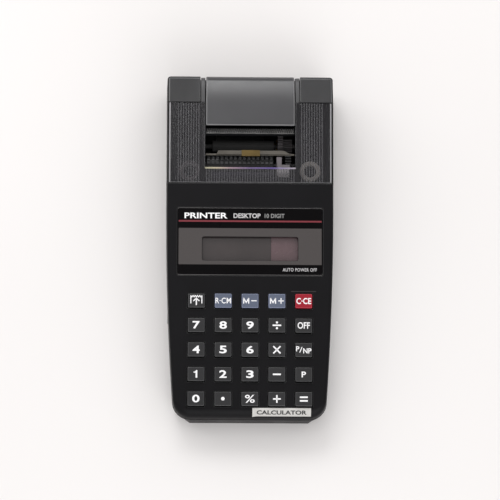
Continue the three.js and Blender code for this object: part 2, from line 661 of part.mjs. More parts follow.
function printerCover() {
  const front = deckHeight(COVER_FRONT_Y);
  const back = RIDGE_Y - 0.25;
  const plate = (x0, x1, y0, y1) =>
    alongX(
      [
        [y0, deckHeight(y0) - COVER_THICKNESS],
        [y1, deckHeight(y1) - COVER_THICKNESS],
        [y1, deckHeight(y1)],
        [y0, deckHeight(y0)],
      ],
      x0,
      x1,
    );
  const edge = BAY_HALF_WIDTH - GAP;
  const bar = plate(-edge, edge, COVER_FRONT_Y, WINDOW_FRONT_Y);
  const parts = [-1, 1].flatMap((side) => {
    const span = (a, b) => [side * a, side * b].sort((p, q) => p - q);
    const outer = overTheTop(WINDOW_FRONT_Y - 1, 0, -30);
    const inner = overTheTop(WINDOW_FRONT_Y - 1, -COVER_THICKNESS, -30).reverse();
    const skirt = box(...span(edge - 1.2, edge), 44, 60, front - 6.6, deckHeight(44) - 1);
    return [
      plate(...span(WINDOW_HALF_WIDTH + 1, edge), WINDOW_FRONT_Y - 1, back),
      alongX([...outer, ...inner], ...span(WINDOW_HALF_WIDTH, STRIP_HALF_WIDTH)),
      cylinderX(3.2, ...span(WINDOW_HALF_WIDTH, STRIP_HALF_WIDTH), hinge, 16),
      skirt,
    ];
  });
  const pinHole = cylinderX(FLAP_PIN_RADIUS + GAP, -30, 30, hinge, 14);
  return cut(join(bar, ...parts), pinHole);
}

function paperFlap() {
  const outer = overTheTop(FLAP_FRONT_Y, FLAP_PROUD, -60);
  const inner = overTheTop(FLAP_FRONT_Y, FLAP_PROUD - COVER_THICKNESS, -60).reverse();
  const sheet = alongX([...outer, ...inner], -FLAP_HALF_WIDTH, FLAP_HALF_WIDTH);
  const cheeks = [-1, 1].flatMap((side) => {
    const span = (a, b) => [side * a, side * b].sort((p, q) => p - q);
    return [
      cylinderX(3.3, ...span(FLAP_HALF_WIDTH - 1.5, FLAP_HALF_WIDTH), hinge, 16),
      cylinderX(FLAP_PIN_RADIUS, ...span(FLAP_HALF_WIDTH - 0.5, STRIP_HALF_WIDTH - 0.2), hinge, 12),
    ];
  });
  return join(sheet, ...cheeks);
}

// ---------------------------------------------------------------- materials
const paint = (color, roughness, metalness = 0) =>
  new THREE.MeshStandardMaterial({ color, roughness, metalness });

const materials = {
  caseBlack: paint(0x1b1b1d, 0.5),
  panelBlack: paint(0x121213, 0.25),
  keyGrey: paint(0x3c3c3e, 0.55),
  keyBlue: paint(0x5c6688, 0.55),
  keyRed: paint(0xa81c30, 0.5),
  smoke: paint(0x303034, 0.2),
  flapSmoke: paint(0x4a4a4e, 0.45),
  lcd: paint(0x5a5450, 0.3),
  rubber: paint(0x1a1a1a, 0.9),
  matRubber: paint(0x8c8f92, 0.85),
  board: paint(0x2c5a35, 0.6),
  steel: paint(0xb4b4b2, 0.35, 1),
  brass: paint(0xb79a4c, 0.35, 1),
  nylon: paint(0xd8d2c4, 0.6),
  inkFelt: paint(0x35245a, 0.9),
  packWrap: paint(0x2f5f8c, 0.4),
};

const keyMaterials = {
  key_clear: materials.keyRed,
  key_memory_recall: materials.keyBlue,
  key_memory_minus: materials.keyBlue,
  key_memory_plus: materials.keyBlue,
};

// ---------------------------------------------------------------- assembly
const calculator = new THREE.Group();

function place(name, geometry, material, parent = calculator) {
  const mesh = new THREE.Mesh(geometry.isBufferGeometry ? geometry : toGeometry(geometry), material);
  mesh.name = name;
  parent.add(mesh);
  return mesh;
}

place("upper_case", upperCase(), materials.caseBlack);
place("lower_case", lowerCase(), materials.caseBlack);

const deck = new THREE.Group();
deck.position.set(0, FRONT_Y, DECK_FRONT_Z);
deck.rotation.x = DECK_SLOPE;
calculator.add(deck);

const capGeometry = toGeometry(keyCap());
for (const { name, x, y } of keyPlaces) {
  place(name, capGeometry, keyMaterials[name] ?? materials.keyGrey, deck).position.set(x, y, 0);
}
place("display_panel", displayPanel(), materials.panelBlack, deck);
place("lcd_glass", lcdGlass(), materials.lcd, deck);
place("lcd_connector", lcdConnector(), materials.rubber, deck);
place("key_mat", keyMat(), materials.matRubber, deck);
place("main_board", mainBoard(), materials.board, deck);

place("battery_pack", batteryPack(), materials.packWrap);
place("battery_contact_spring", contactStrip(-1, 3.6), materials.steel);
place("battery_contact_plate", contactStrip(1, 3.6), materials.steel);
place("battery_door", batteryDoor(), materials.caseBlack);
place("dc_jack", dcJack(), materials.rubber);
SCREWS.forEach((screw) => place(screw.name, caseScrew(screw), materials.steel));
FEET.forEach((pad) => place(pad.name, foot(pad), materials.rubber));

place("printer_frame", printerFrame(), materials.caseBlack);
place("printer_motor", printerMotor(), materials.steel);
place("motor_pinion", motorPinion(), materials.brass);
place("feed_gear", feedGear(), materials.nylon);
place("feed_roller", feedRoller(), materials.rubber);
place("type_drum", typeDrum(), materials.caseBlack);
place("ink_roller", inkRoller(), materials.inkFelt);
place("ink_lever", inkLever(), materials.nylon);
place("paper_guide", paperGuide(), materials.steel);
place("guide_clip", guideClip(), materials.brass);
place("grommet_left", grommet(-1), materials.nylon);
place("grommet_right", grommet(1), materials.nylon);
const bar = place("tear_bar", tearBar(), materials.steel);
bar.position.set(0, 56.8, 29.9);
bar.rotation.x = THREE.MathUtils.degToRad(14);

place("printer_cover", printerCover(), materials.smoke);
place("paper_flap", paperFlap(), materials.flapSmoke);

export default calculator;
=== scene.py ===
"""The looks of the desk calculator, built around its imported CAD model.

Shapes are made in millimetres in the CAD frame and scaled to metres when they become pieces.
"""

import json
import math

import bmesh
import bpy
from mathutils import Matrix, Vector

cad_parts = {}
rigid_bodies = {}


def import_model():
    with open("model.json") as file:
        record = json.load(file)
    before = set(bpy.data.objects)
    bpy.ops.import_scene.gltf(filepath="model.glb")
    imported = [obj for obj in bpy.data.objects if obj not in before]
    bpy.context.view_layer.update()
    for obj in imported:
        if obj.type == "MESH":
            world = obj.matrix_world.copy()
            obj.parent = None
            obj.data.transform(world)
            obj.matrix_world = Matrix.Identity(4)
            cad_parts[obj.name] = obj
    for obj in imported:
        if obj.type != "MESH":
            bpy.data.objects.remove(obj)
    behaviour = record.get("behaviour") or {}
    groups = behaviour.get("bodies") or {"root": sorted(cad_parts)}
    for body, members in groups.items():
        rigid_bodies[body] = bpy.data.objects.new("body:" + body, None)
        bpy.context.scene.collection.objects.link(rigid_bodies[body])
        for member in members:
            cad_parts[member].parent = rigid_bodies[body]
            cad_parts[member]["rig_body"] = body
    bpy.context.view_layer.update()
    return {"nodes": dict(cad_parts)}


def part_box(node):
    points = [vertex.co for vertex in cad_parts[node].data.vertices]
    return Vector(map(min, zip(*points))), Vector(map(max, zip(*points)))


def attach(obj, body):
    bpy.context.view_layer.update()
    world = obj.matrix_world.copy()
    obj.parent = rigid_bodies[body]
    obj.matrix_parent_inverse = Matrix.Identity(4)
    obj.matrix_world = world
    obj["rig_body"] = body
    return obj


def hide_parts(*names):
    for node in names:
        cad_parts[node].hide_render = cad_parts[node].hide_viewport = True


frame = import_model()

MM = 0.001

# ---------------- dimensions of the CAD model, in mm
HALF_WIDTH = 42.4
FRONT_Y = -87.5
REAR_Y = 87.5
TAPER_START_Y = 22.0
TAPER_RADIUS = 1420.0
FRONT_CORNER = 9.0
REAR_CORNER = 2.0
HOLLOW_REAR_CORNER = 4.0
GAP = 0.3
WALL = 2.0
SEAM_Z = 13.0
DECK_FRONT_Z = 19.5
DECK_SLOPE = math.radians(5)
RIDGE_Y = 72.45
REAR_SLOPE = math.radians(12)
SIDE_EDGE_RADIUS = 1.5
FRONT_EDGE_RADIUS = 5.0
CASE_DRAFT = 0.35

KEY_WIDTH = 8.4
KEY_DEPTH = 7.1
KEY_RISE = 1.6
KEY_HOLE_GAP = 0.4
KEY_DISH = 0.03

PANEL_HALF_WIDTH = 36.4
PANEL_HALF_DEPTH = 17.1
PRINT_HALF_WIDTH = 36.0
PANEL_CENTRE = 89.0
PANEL_PROUD = 0.1
PANEL_THICKNESS = 1.0
LCD_HALF_WIDTH = 24.1
LCD_HALF_DEPTH = 6.0
LCD_CENTRE = 85.3
LCD_TOP = -2.3

BAY_FRONT_Y = 30.8
BAY_HALF_WIDTH = 41.5
COVER_FRONT_Y = 31.2
COVER_THICKNESS = 1.6
COVER_HALF_WIDTH = 41.2
SKIRT_FRONT_Y = 44
SKIRT_REAR_Y = 60
WINDOW_FRONT_Y = 39.3
WINDOW_HALF_WIDTH = 22.9
STRIP_HALF_WIDTH = 25.0
FLAP_FRONT_Y = 60.4
FLAP_HALF_WIDTH = 22.5
FLAP_PROUD = 0.5
REAR_ROUND = 4.0
RIB_PITCH = 1.3
RIBBED_HALF_WIDTH = 36.6
RIB_HEIGHT = 0.06

DRUM = (43.5, 16.5)
DRUM_RADIUS = 6.5
WHEEL_RADIUS = 5.95
TYPE_WHEELS = 15
TYPE_PITCH = 2.28
DRUM_TEETH = 26
GEAR_MODULE = 0.5


def deck_height(y):
    """Height of the deck plane, which falls behind the ridge."""
    ridge = DECK_FRONT_Z + math.tan(DECK_SLOPE) * (RIDGE_Y - FRONT_Y)
    if y <= RIDGE_Y:
        return ridge - math.tan(DECK_SLOPE) * (RIDGE_Y - y)
    return ridge - math.tan(REAR_SLOPE) * (y - RIDGE_Y)


HINGE_Y = REAR_Y - FLAP_PROUD - REAR_ROUND
HINGE_Z = deck_height(HINGE_Y) - REAR_ROUND / math.cos(REAR_SLOPE)

# The deck's own axes: x across, y along the deck from the user's edge, z out of it.
DECK = Matrix.Translation((0, FRONT_Y, DECK_FRONT_Z)) @ Matrix.Rotation(DECK_SLOPE, 4, "X")
UPRIGHT = Matrix.Identity(4)


# ---------------- shape helpers
def mesh_from(vertices, faces):
    bm = bmesh.new()
    made = [bm.verts.new(v) for v in vertices]
    for face in faces:
        bm.faces.new([made[i] for i in face])
    bmesh.ops.recalc_face_normals(bm, faces=bm.faces)
    return bm


def block(x0, x1, y0, y1, z0, z1):
    vertices = [(x, y, z) for z in (z0, z1) for y in (y0, y1) for x in (x0, x1)]
    faces = [(0, 2, 3, 1), (4, 5, 7, 6), (0, 1, 5, 4), (2, 6, 7, 3), (0, 4, 6, 2), (1, 3, 7, 5)]
    return mesh_from(vertices, faces)


def prism(outline, low, high, place):
    """A closed outline carried from low to high; place turns (a, b, depth) into a point."""
    count = len(outline)
    vertices = [place(a, b, depth) for depth in (low, high) for a, b in outline]
    faces = [tuple(range(count)), tuple(range(count, 2 * count))]
    faces += [(i, (i + 1) % count, count + (i + 1) % count, count + i) for i in range(count)]
    return mesh_from(vertices, faces)


def along_x(outline, x0, x1):
    return prism(outline, x0, x1, lambda y, z, x: (x, y, z))


def along_y(outline, y0, y1):
    return prism(outline, y0, y1, lambda x, z, y: (x, y, z))


def along_z(outline, z0, z1):
    return prism(outline, z0, z1, lambda x, y, z: (x, y, z))


def lathe(profile, steps, place):
    """A closed (radius, height) profile turned round; place turns (u, v, height) into a point."""
    vertices = []
    for i in range(steps):
        angle = 2 * math.pi * i / steps
        vertices += [place(r * math.cos(angle), r * math.sin(angle), h) for r, h in profile]
    count = len(profile)
    faces = []
    for i in range(steps):
        near, far = i * count, (i + 1) % steps * count
        for j in range(count):
            k = (j + 1) % count
            faces.append((near + j, near + k, far + k, far + j))
    bm = mesh_from(vertices, faces)
    bmesh.ops.remove_doubles(bm, verts=bm.verts, dist=1e-5)
    return bm


def arc(centre, radius, start, end, steps):
    """Points on a circle from one angle to another, in degrees."""
    points = []
    for i in range(steps + 1):
        angle = math.radians(start + (end - start) * i / steps)
        points.append((centre[0] + radius * math.cos(angle), centre[1] + radius * math.sin(angle)))
    return points


def rounded_rectangle(half_x, half_y, radius, centre=(0.0, 0.0), steps=5):
    points = []
    for sx, sy, start in ((1, 1, 0), (-1, 1, 90), (-1, -1, 180), (1, -1, 270)):
        corner = (centre[0] + sx * (half_x - radius), centre[1] + sy * (half_y - radius))
        points += arc(corner, radius, start, start + 90, steps)
    return points


def joined(*parts):
    """Several meshes as one, each a separate closed body in it."""
    whole = bmesh.new()
    for part in parts:
        mesh = bpy.data.meshes.new("part")
        part.to_mesh(mesh)
        part.free()
        whole.from_mesh(mesh)
        bpy.data.meshes.remove(mesh)
    return whole


def solid(bm, matrix=UPRIGHT):
    """A working object in millimetres, before it becomes a piece."""
    bm.transform(matrix)
    mesh = bpy.data.meshes.new("solid")
    bm.to_mesh(mesh)
    bm.free()
    obj = bpy.data.objects.new("solid", mesh)
    bpy.context.scene.collection.objects.link(obj)
    return obj


def apply_modifiers(obj):
    graph = bpy.context.evaluated_depsgraph_get()
    mesh = bpy.data.meshes.new_from_object(obj.evaluated_get(graph))
    old = obj.data
    obj.modifiers.clear()
    obj.data = mesh
    bpy.data.meshes.remove(old)


def combine(obj, operation, tools):
    """obj joined with, or cut by, working objects that are used up."""
    holder = bpy.data.collections.new("tools")
    bpy.context.scene.collection.children.link(holder)
    for tool in tools:
        bpy.context.scene.collection.objects.unlink(tool)
        holder.objects.link(tool)
    modifier = obj.modifiers.new("combine", "BOOLEAN")
    modifier.operand_type = "COLLECTION"
    modifier.collection = holder
    modifier.operation = operation
    modifier.solver = "EXACT"
    apply_modifiers(obj)
    for tool in tools:
        mesh = tool.data
        bpy.data.objects.remove(tool)
        bpy.data.meshes.remove(mesh)
    bpy.data.collections.remove(holder)


def clean(obj):
    """Merges what booleans leave doubled, and the flat faces that they split."""
    bm = bmesh.new()
    bm.from_mesh(obj.data)
    bmesh.ops.remove_doubles(bm, verts=bm.verts, dist=0.004)
    bmesh.ops.dissolve_limit(bm, angle_limit=math.radians(0.3), verts=bm.verts, edges=bm.edges)
    bm.to_mesh(obj.data)
    bm.free()


def soften(obj, width, segments=2, angle=40, edge_material=0):
    """Rounds the sharp edges; edge_material gives the rounded faces their own material slot."""
    while len(obj.data.materials) <= edge_material:
        obj.data.materials.append(None)
    modifier = obj.modifiers.new("soften", "BEVEL")
    modifier.width = width
    modifier.segments = segments
    modifier.limit_method = "ANGLE"
    modifier.angle_limit = math.radians(angle)
    modifier.use_clamp_overlap = False
    modifier.material = edge_material
    apply_modifiers(obj)


def mark_faces(obj, index, test):
    """Gives the faces whose normal and centre pass the test that material index."""
    for polygon in obj.data.polygons:
        if test(polygon.normal, polygon.center):
            polygon.material_index = index


def finish(obj, name, body, slot, *materials, smooth=35, replaces=()):
    """The working object becomes a named piece in metres that rides on a CAD body."""
    obj.name = name
    obj.data.name = name
    obj.data.transform(Matrix.Scale(MM, 4))
    for polygon in obj.data.polygons:
        polygon.use_smooth = True
    obj.data.set_sharp_from_angle(angle=math.radians(smooth))
    normals = obj.modifiers.new("normals", "WEIGHTED_NORMAL")
    normals.keep_sharp = True
    for index, material in enumerate(materials):
        if index < len(obj.data.materials):
            obj.data.materials[index] = material
        else:
            obj.data.materials.append(material)
    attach(obj, body)
    if replaces:
        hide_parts(*replaces)


# ---------------- materials
GRAIN_DEPTH = 0.02 * MM


def node_material(name):
    material = bpy.data.materials.new(name)
    material.use_nodes = True
    nodes = material.node_tree.nodes
    nodes.clear()
    output = nodes.new("ShaderNodeOutputMaterial")
    shader = nodes.new("ShaderNodeBsdfPrincipled")
    material.node_tree.links.new(shader.outputs["BSDF"], output.inputs["Surface"])
    return material, shader


def noise(material, scale, detail=3.0, roughness=0.5, stretch=(1, 1, 1)):
    """A noise texture in object space; scale is in cells per metre."""
    nodes, links = material.node_tree.nodes, material.node_tree.links
    coordinates = nodes.new("ShaderNodeTexCoord")
    mapping = nodes.new("ShaderNodeMapping")
    mapping.inputs["Scale"].default_value = stretch
    texture = nodes.new("ShaderNodeTexNoise")
    texture.inputs["Scale"].default_value = scale
    texture.inputs["Detail"].default_value = detail
    texture.inputs["Roughness"].default_value = roughness
    links.new(coordinates.outputs["Object"], mapping.inputs["Vector"])
    links.new(mapping.outputs["Vector"], texture.inputs["Vector"])
    return texture.outputs["Fac"]


def ramp(material, value, stops):
    """A colour ramp over value; stops are (position, colour)."""
    node = material.node_tree.nodes.new("ShaderNodeValToRGB")
    elements = node.color_ramp.elements
    while len(elements) < len(stops):
        elements.new(0.5)
    for element, (position, colour) in zip(elements, stops):
        element.position = position
        element.color = (*colour, 1.0)
    material.node_tree.links.new(value, node.inputs["Fac"])
    return node.outputs["Color"]


def between(material, value, low, high):
    """value, from about 0.3 to 0.7, carried to the range low to high."""
    node = material.node_tree.nodes.new("ShaderNodeMapRange")
    node.inputs["From Min"].default_value = 0.3
    node.inputs["From Max"].default_value = 0.7
    node.inputs["To Min"].default_value = low
    node.inputs["To Max"].default_value = high
    material.node_tree.links.new(value, node.inputs["Value"])
    return node.outputs["Result"]


def bump(material, shader, height, distance, strength):
    node = material.node_tree.nodes.new("ShaderNodeBump")
    node.inputs["Distance"].default_value = distance
    node.inputs["Strength"].default_value = strength
    material.node_tree.links.new(height, node.inputs["Height"])
    material.node_tree.links.new(node.outputs["Normal"], shader.inputs["Normal"])


def scaled(colour, factor):
    return tuple(c * factor for c in colour)


def grained(name, colour, roughness, grain=2600, strength=0.35, spread=0.12, specular=0.5):
    """Moulded plastic: a fine spark-eroded grain, faint handling marks and a slightly uneven colour."""
    material, shader = node_material(name)
    shader.inputs["Specular IOR Level"].default_value = specular
    cloud = noise(material, 45, detail=4)
    fine = noise(material, grain, detail=2, roughness=0.6)
    stops = [(0.35, scaled(colour, 1 - spread)), (0.65, scaled(colour, 1 + spread))]
    links = material.node_tree.links
    links.new(ramp(material, cloud, stops), shader.inputs["Base Color"])
    smear = noise(material, 110, detail=5, roughness=0.65, stretch=(1, 0.35, 1))
    links.new(between(material, smear, roughness - 0.05, roughness + 0.06), shader.inputs["Roughness"])
    bump(material, shader, fine, GRAIN_DEPTH, strength)
    return material


def clear_plastic(name, colour, roughness, alpha, specular=1.0, bumps=0.0):
    """Tinted see-through plastic: alpha is what one surface of it holds back."""
    material, shader = node_material(name)
    shader.inputs["Alpha"].default_value = alpha
    shader.inputs["Specular IOR Level"].default_value = specular
    links = material.node_tree.links
    cloud = noise(material, 60, detail=4)
    stops = [(0.3, scaled(colour, 0.9)), (0.7, scaled(colour, 1.1))]
    links.new(ramp(material, cloud, stops), shader.inputs["Base Color"])
    haze = noise(material, 220, detail=5, roughness=0.65)
    links.new(between(material, haze, roughness - 0.02, roughness + 0.04), shader.inputs["Roughness"])
    if bumps:
        bump(material, shader, noise(material, 2200, detail=2), GRAIN_DEPTH, bumps)
    return material


def coloured_sheen(name):
    """A painted sheen along a cut edge of the clear plastic, coloured from yellow at the left to violet.
    """
    material, shader = node_material(name)
    nodes, links = material.node_tree.nodes, material.node_tree.links
    coordinates = nodes.new("ShaderNodeTexCoord")
    split = nodes.new("ShaderNodeSeparateXYZ")
    links.new(coordinates.outputs["Object"], split.inputs["Vector"])
    across = nodes.new("ShaderNodeMapRange")
    across.inputs["From Min"].default_value = -WINDOW_HALF_WIDTH * MM
    across.inputs["From Max"].default_value = WINDOW_HALF_WIDTH * MM
    links.new(split.outputs["X"], across.inputs["Value"])
    stops = [
        (0.0, (0.55, 0.53, 0.38)),
        (0.12, (0.62, 0.55, 0.4)),
        (0.3, (0.42, 0.3, 0.36)),
        (0.5, (0.2, 0.15, 0.3)),
        (0.75, (0.16, 0.12, 0.34)),
        (1.0, (0.5, 0.46, 0.52)),
    ]
    links.new(ramp(material, across.outputs["Result"], stops), shader.inputs["Base Color"])
    shader.inputs["Alpha"].default_value = 0.75
    haze = noise(material, 700, detail=2)
    links.new(between(material, haze, 0.2, 0.35), shader.inputs["Roughness"])
    return material


def metal(name, colour, roughness, stretch=(0.05, 1, 1)):
    """Drawn or brushed metal, streaked along the direction that stretch shrinks."""
    material, shader = node_material(name)
    shader.inputs["Metallic"].default_value = 1.0
    links = material.node_tree.links
    streak = noise(material, 1800, detail=3, roughness=0.6, stretch=stretch)
    tarnish = noise(material, 160, detail=4)
    stops = [(0.3, scaled(colour, 0.75)), (0.6, colour)]
    links.new(ramp(material, tarnish, stops), shader.inputs["Base Color"])
    links.new(between(material, streak, roughness - 0.08, roughness + 0.12), shader.inputs["Roughness"])
    bump(material, shader, streak, 0.01 * MM, 0.3)
    return material


def printed(name, colour, roughness=0.5, speckle=0.06):
    """Silk-screened ink: nearly even, with a faint mesh grain."""
    material, shader = node_material(name)
    links = material.node_tree.links
    mesh_grain = noise(material, 3000, detail=1)
    stops = [(0.35, scaled(colour, 1 - speckle)), (0.65, colour)]
    links.new(ramp(material, mesh_grain, stops), shader.inputs["Base Color"])
    gloss = between(material, mesh_grain, roughness - 0.04, roughness + 0.04)
    links.new(gloss, shader.inputs["Roughness"])
    bump(material, shader, mesh_grain, 0.008 * MM, 0.25)
    return material


case_black = grained("case_black", (0.0042, 0.004, 0.0049), 0.4, specular=0.12)
# A paler, glossier copy of the case plastic: a painted reflection on the rear corner tops.
corner_top_reflection = grained("corner_top_reflection", (0.008, 0.008, 0.0095), 0.42, specular=0.36)
# A grey copy of the case plastic: a painted glint on the corner blocks' rounded edges.
corner_edge_glint = grained("corner_edge_glint", (0.055, 0.055, 0.058), 0.35, specular=0.8)
inner_black = grained("inner_black", (0.008, 0.008, 0.009), 0.6, specular=0.1)
# A lighter, glossier copy of the case plastic: a painted highlight on the upper case's bevelled edges.
case_bevel_highlight = grained("case_bevel_highlight", (0.012, 0.012, 0.013), 0.3, strength=0.15)
panel_black = grained("panel_black", (0.002, 0.0016, 0.002), 0.3, 1800, strength=0.12, specular=0.05)
# A pale copy of the panel's black: a painted highlight on its bevelled edges.
panel_bevel_highlight = grained("panel_bevel_highlight", (0.16, 0.155, 0.155), 0.3, grain=1800, strength=0.1)
key_grey = grained("key_grey", (0.018, 0.018, 0.0193), 0.48, spread=0.08, specular=0.3)
# A lighter copy of the key grey: a painted highlight on the cap bevels.
key_grey_highlight = grained("key_grey_highlight", (0.05, 0.05, 0.052), 0.4, spread=0.06)
key_blue = grained("key_blue", (0.09, 0.108, 0.155), 0.45, spread=0.08, specular=0.3)
# A lighter copy of the key blue: a painted highlight on the cap bevels.
key_blue_highlight = grained("key_blue_highlight", (0.2, 0.225, 0.33), 0.4, spread=0.06)
key_red = grained("key_red", (0.275, 0.004, 0.016), 0.42, spread=0.08, specular=0.3)
# A lighter copy of the key red: a painted highlight on the cap bevels.
key_red_highlight = grained("key_red_highlight", (0.42, 0.03, 0.05), 0.38, spread=0.06)
smoke = clear_plastic("smoke", (0.03, 0.029, 0.033), 0.13, 0.34, specular=0.45)
smoke_rib = clear_plastic("smoke_rib", (0.056, 0.055, 0.06), 0.25, 0.8, specular=0.5)
smoke_strip = clear_plastic("smoke_strip", (0.065, 0.065, 0.068), 0.35, 0.93, specular=0.4)
# A pale, more opaque copy of the smoke: a painted highlight along the cover's bevelled edges.
smoke_highlight_line = clear_plastic("smoke_highlight_line", (0.15, 0.15, 0.155), 0.3, 0.8, specular=0.6)
# A much paler copy of the smoke: a painted glint on the cover's side chamfers.
smoke_chamfer_glint = clear_plastic("smoke_chamfer_glint", (0.4, 0.4, 0.415), 0.3, 0.8)
sheen_edge = coloured_sheen("sheen_edge")
frosted = clear_plastic("frosted", (0.015, 0.015, 0.019), 0.3, 0.94, specular=0.9, bumps=0.1)
# A paler copy of the frosted plastic: a painted highlight on the flap's bevelled edges.
frosted_bevel_highlight = clear_plastic("frosted_bevel_highlight", (0.13, 0.13, 0.135), 0.35, 0.97, bumps=0.1)
rubber_black = grained("rubber_black", (0.012, 0.012, 0.012), 0.75, grain=1400, strength=0.5)
silicone = grained("silicone", (0.26, 0.27, 0.28), 0.7)
board_green = grained("board_green", (0.02, 0.09, 0.03), 0.4, grain=700, strength=0.2)
wrap_blue = grained("wrap_blue", (0.028, 0.115, 0.26), 0.3, grain=300, strength=0.15)
nylon = grained("nylon", (0.12, 0.107, 0.116), 0.5)
nylon_pale = grained("nylon_pale", (0.5, 0.47, 0.49), 0.5)
gear_nylon = grained("gear_nylon", (0.03, 0.026, 0.028), 0.5)
cream_rubber = grained("cream_rubber", (0.75, 0.69, 0.64), 0.6)
# A darker copy of the cream rubber: painted shade on the left grommet.
shaded_rubber = grained("shaded_rubber", (0.18, 0.15, 0.16), 0.6)
type_black = grained("type_black", (0.008, 0.008, 0.009), 0.4)
# A lighter copy of the type black: a painted highlight on the raised type.
type_highlight = grained("type_highlight", (0.02, 0.02, 0.022), 0.35)
ink_purple = grained("ink_purple", (0.009, 0.006, 0.02), 0.85, grain=1500, strength=0.8)
steel = metal("steel", (0.42, 0.42, 0.41), 0.34)
brass = metal("brass", (0.13, 0.092, 0.038), 0.36)
dull_steel = metal("dull_steel", (0.11, 0.102, 0.09), 0.4)
tear_steel = metal("tear_steel", (0.05, 0.05, 0.05), 0.4)
dark_steel = metal("dark_steel", (0.05, 0.05, 0.05), 0.45)
lcd_dark = clear_plastic("lcd_dark", (0.035, 0.028, 0.028), 0.22, 1.0, specular=0.5)
lcd_rose = clear_plastic("lcd_rose", (0.096, 0.06, 0.066), 0.25, 1.0, specular=0.5)
band_grey = printed("band_grey", (0.044, 0.037, 0.036), 0.42, speckle=0.12)
ink_white = printed("ink_white", (0.86, 0.86, 0.87))
ink_pale = printed("ink_pale", (0.55, 0.54, 0.55))
ink_dim = printed("ink_dim", (0.26, 0.26, 0.26))
ink_red = printed("ink_red", (0.17, 0.01, 0.02))
ink_faint = printed("ink_faint", (0.022, 0.016, 0.016))
paper_white = printed("paper_white", (0.58, 0.572, 0.55), 0.75, speckle=0.05)
ink_dark = printed("ink_dark", (0.012, 0.011, 0.012))


# ---------------- the case's outline
def right_side(rear_corner):
    """The right-hand side from the user's edge to the rear: x, y and the outward normal."""
    big_x = HALF_WIDTH - TAPER_RADIUS
    corner_y = FRONT_Y + FRONT_CORNER
    lean = math.asin((TAPER_START_Y - corner_y) / (TAPER_RADIUS - FRONT_CORNER))
    corner_x = big_x + (TAPER_RADIUS - FRONT_CORNER) * math.cos(lean)

    def turn(x, y, radius, start, end, steps):
        points = []
        for i in range(steps + 1):
            angle = start + (end - start) * i / steps
            nx, ny = math.cos(angle), math.sin(angle)
            points.append((x + radius * nx, y + radius * ny, nx, ny))
        return points

    side = turn(corner_x, corner_y, FRONT_CORNER, -math.pi / 2, -lean, 12)
    side += turn(big_x, TAPER_START_Y, TAPER_RADIUS, -lean, 0, 10)[1:]
    side += [(HALF_WIDTH, BAY_FRONT_Y, 1.0, 0.0), (HALF_WIDTH, RIDGE_Y, 1.0, 0.0)]
    rear = (HALF_WIDTH - rear_corner, REAR_Y - rear_corner)
    side += turn(*rear, rear_corner, 0, math.pi / 2, 8)
    return side


def stack(rings, rear_corner):
    """A closed body from rings of (inset, height) functions stacked upwards on the outline."""
    side = right_side(rear_corner)
    count = len(side)
    vertices = []
    for inset, height in rings:
        right = []
        for x, y, nx, ny in side:
            step = inset(ny)
            inner_y = y - step * ny
            right.append((x - step * nx, inner_y, height(inner_y, ny)))
        vertices += right + [(-x, y, z) for x, y, z in reversed(right)]
    loop = 2 * count
    faces = []
    for ring in range(len(rings) - 1):
        for i in range(loop):
            a, b = ring * loop + i, ring * loop + (i + 1) % loop
            faces.append((a, b, b + loop, a + loop))
    top = (len(rings) - 1) * loop
    for i in range(count - 1):
        strip = (i, i + 1, loop - 2 - i, loop - 1 - i)
        faces.append(strip)
        faces.append(tuple(top + k for k in strip))
    return mesh_from(vertices, faces)


def edge_radius(ny):
    return SIDE_EDGE_RADIUS + (FRONT_EDGE_RADIUS - SIDE_EDGE_RADIUS) * max(0.0, -ny)


def upper_form(bottom, wall):
    """The upper case's form, or with a wall its hollow."""

    def radius(ny):
        return max(0.2, edge_radius(ny) - wall)

    def ring(turn):
        return (
            lambda ny: wall + CASE_DRAFT + radius(ny) * (1 - math.cos(turn)),
            lambda y, ny: deck_height(y) - wall - radius(ny) * (1 - math.sin(turn)),
        )

    turns = [math.pi / 2 * i / 8 for i in range(9)]
    rear_corner = HOLLOW_REAR_CORNER if wall else REAR_CORNER
    return stack([(lambda ny: wall, lambda y, ny: bottom)] + [ring(turn) for turn in turns], rear_corner)


# ---------------- places taken from the CAD model
KEY_NAMES = sorted(name for name in frame["nodes"] if name.startswith("key_") and name != "key_mat")


def key_place(name):
    """A key's centre on the deck, from its CAD node."""
    low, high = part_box(name)
    centre = DECK.inverted() @ ((low + high) / 2 / MM)
    return centre.x, centre.y


KEY_PLACES = {name: key_place(name) for name in KEY_NAMES}


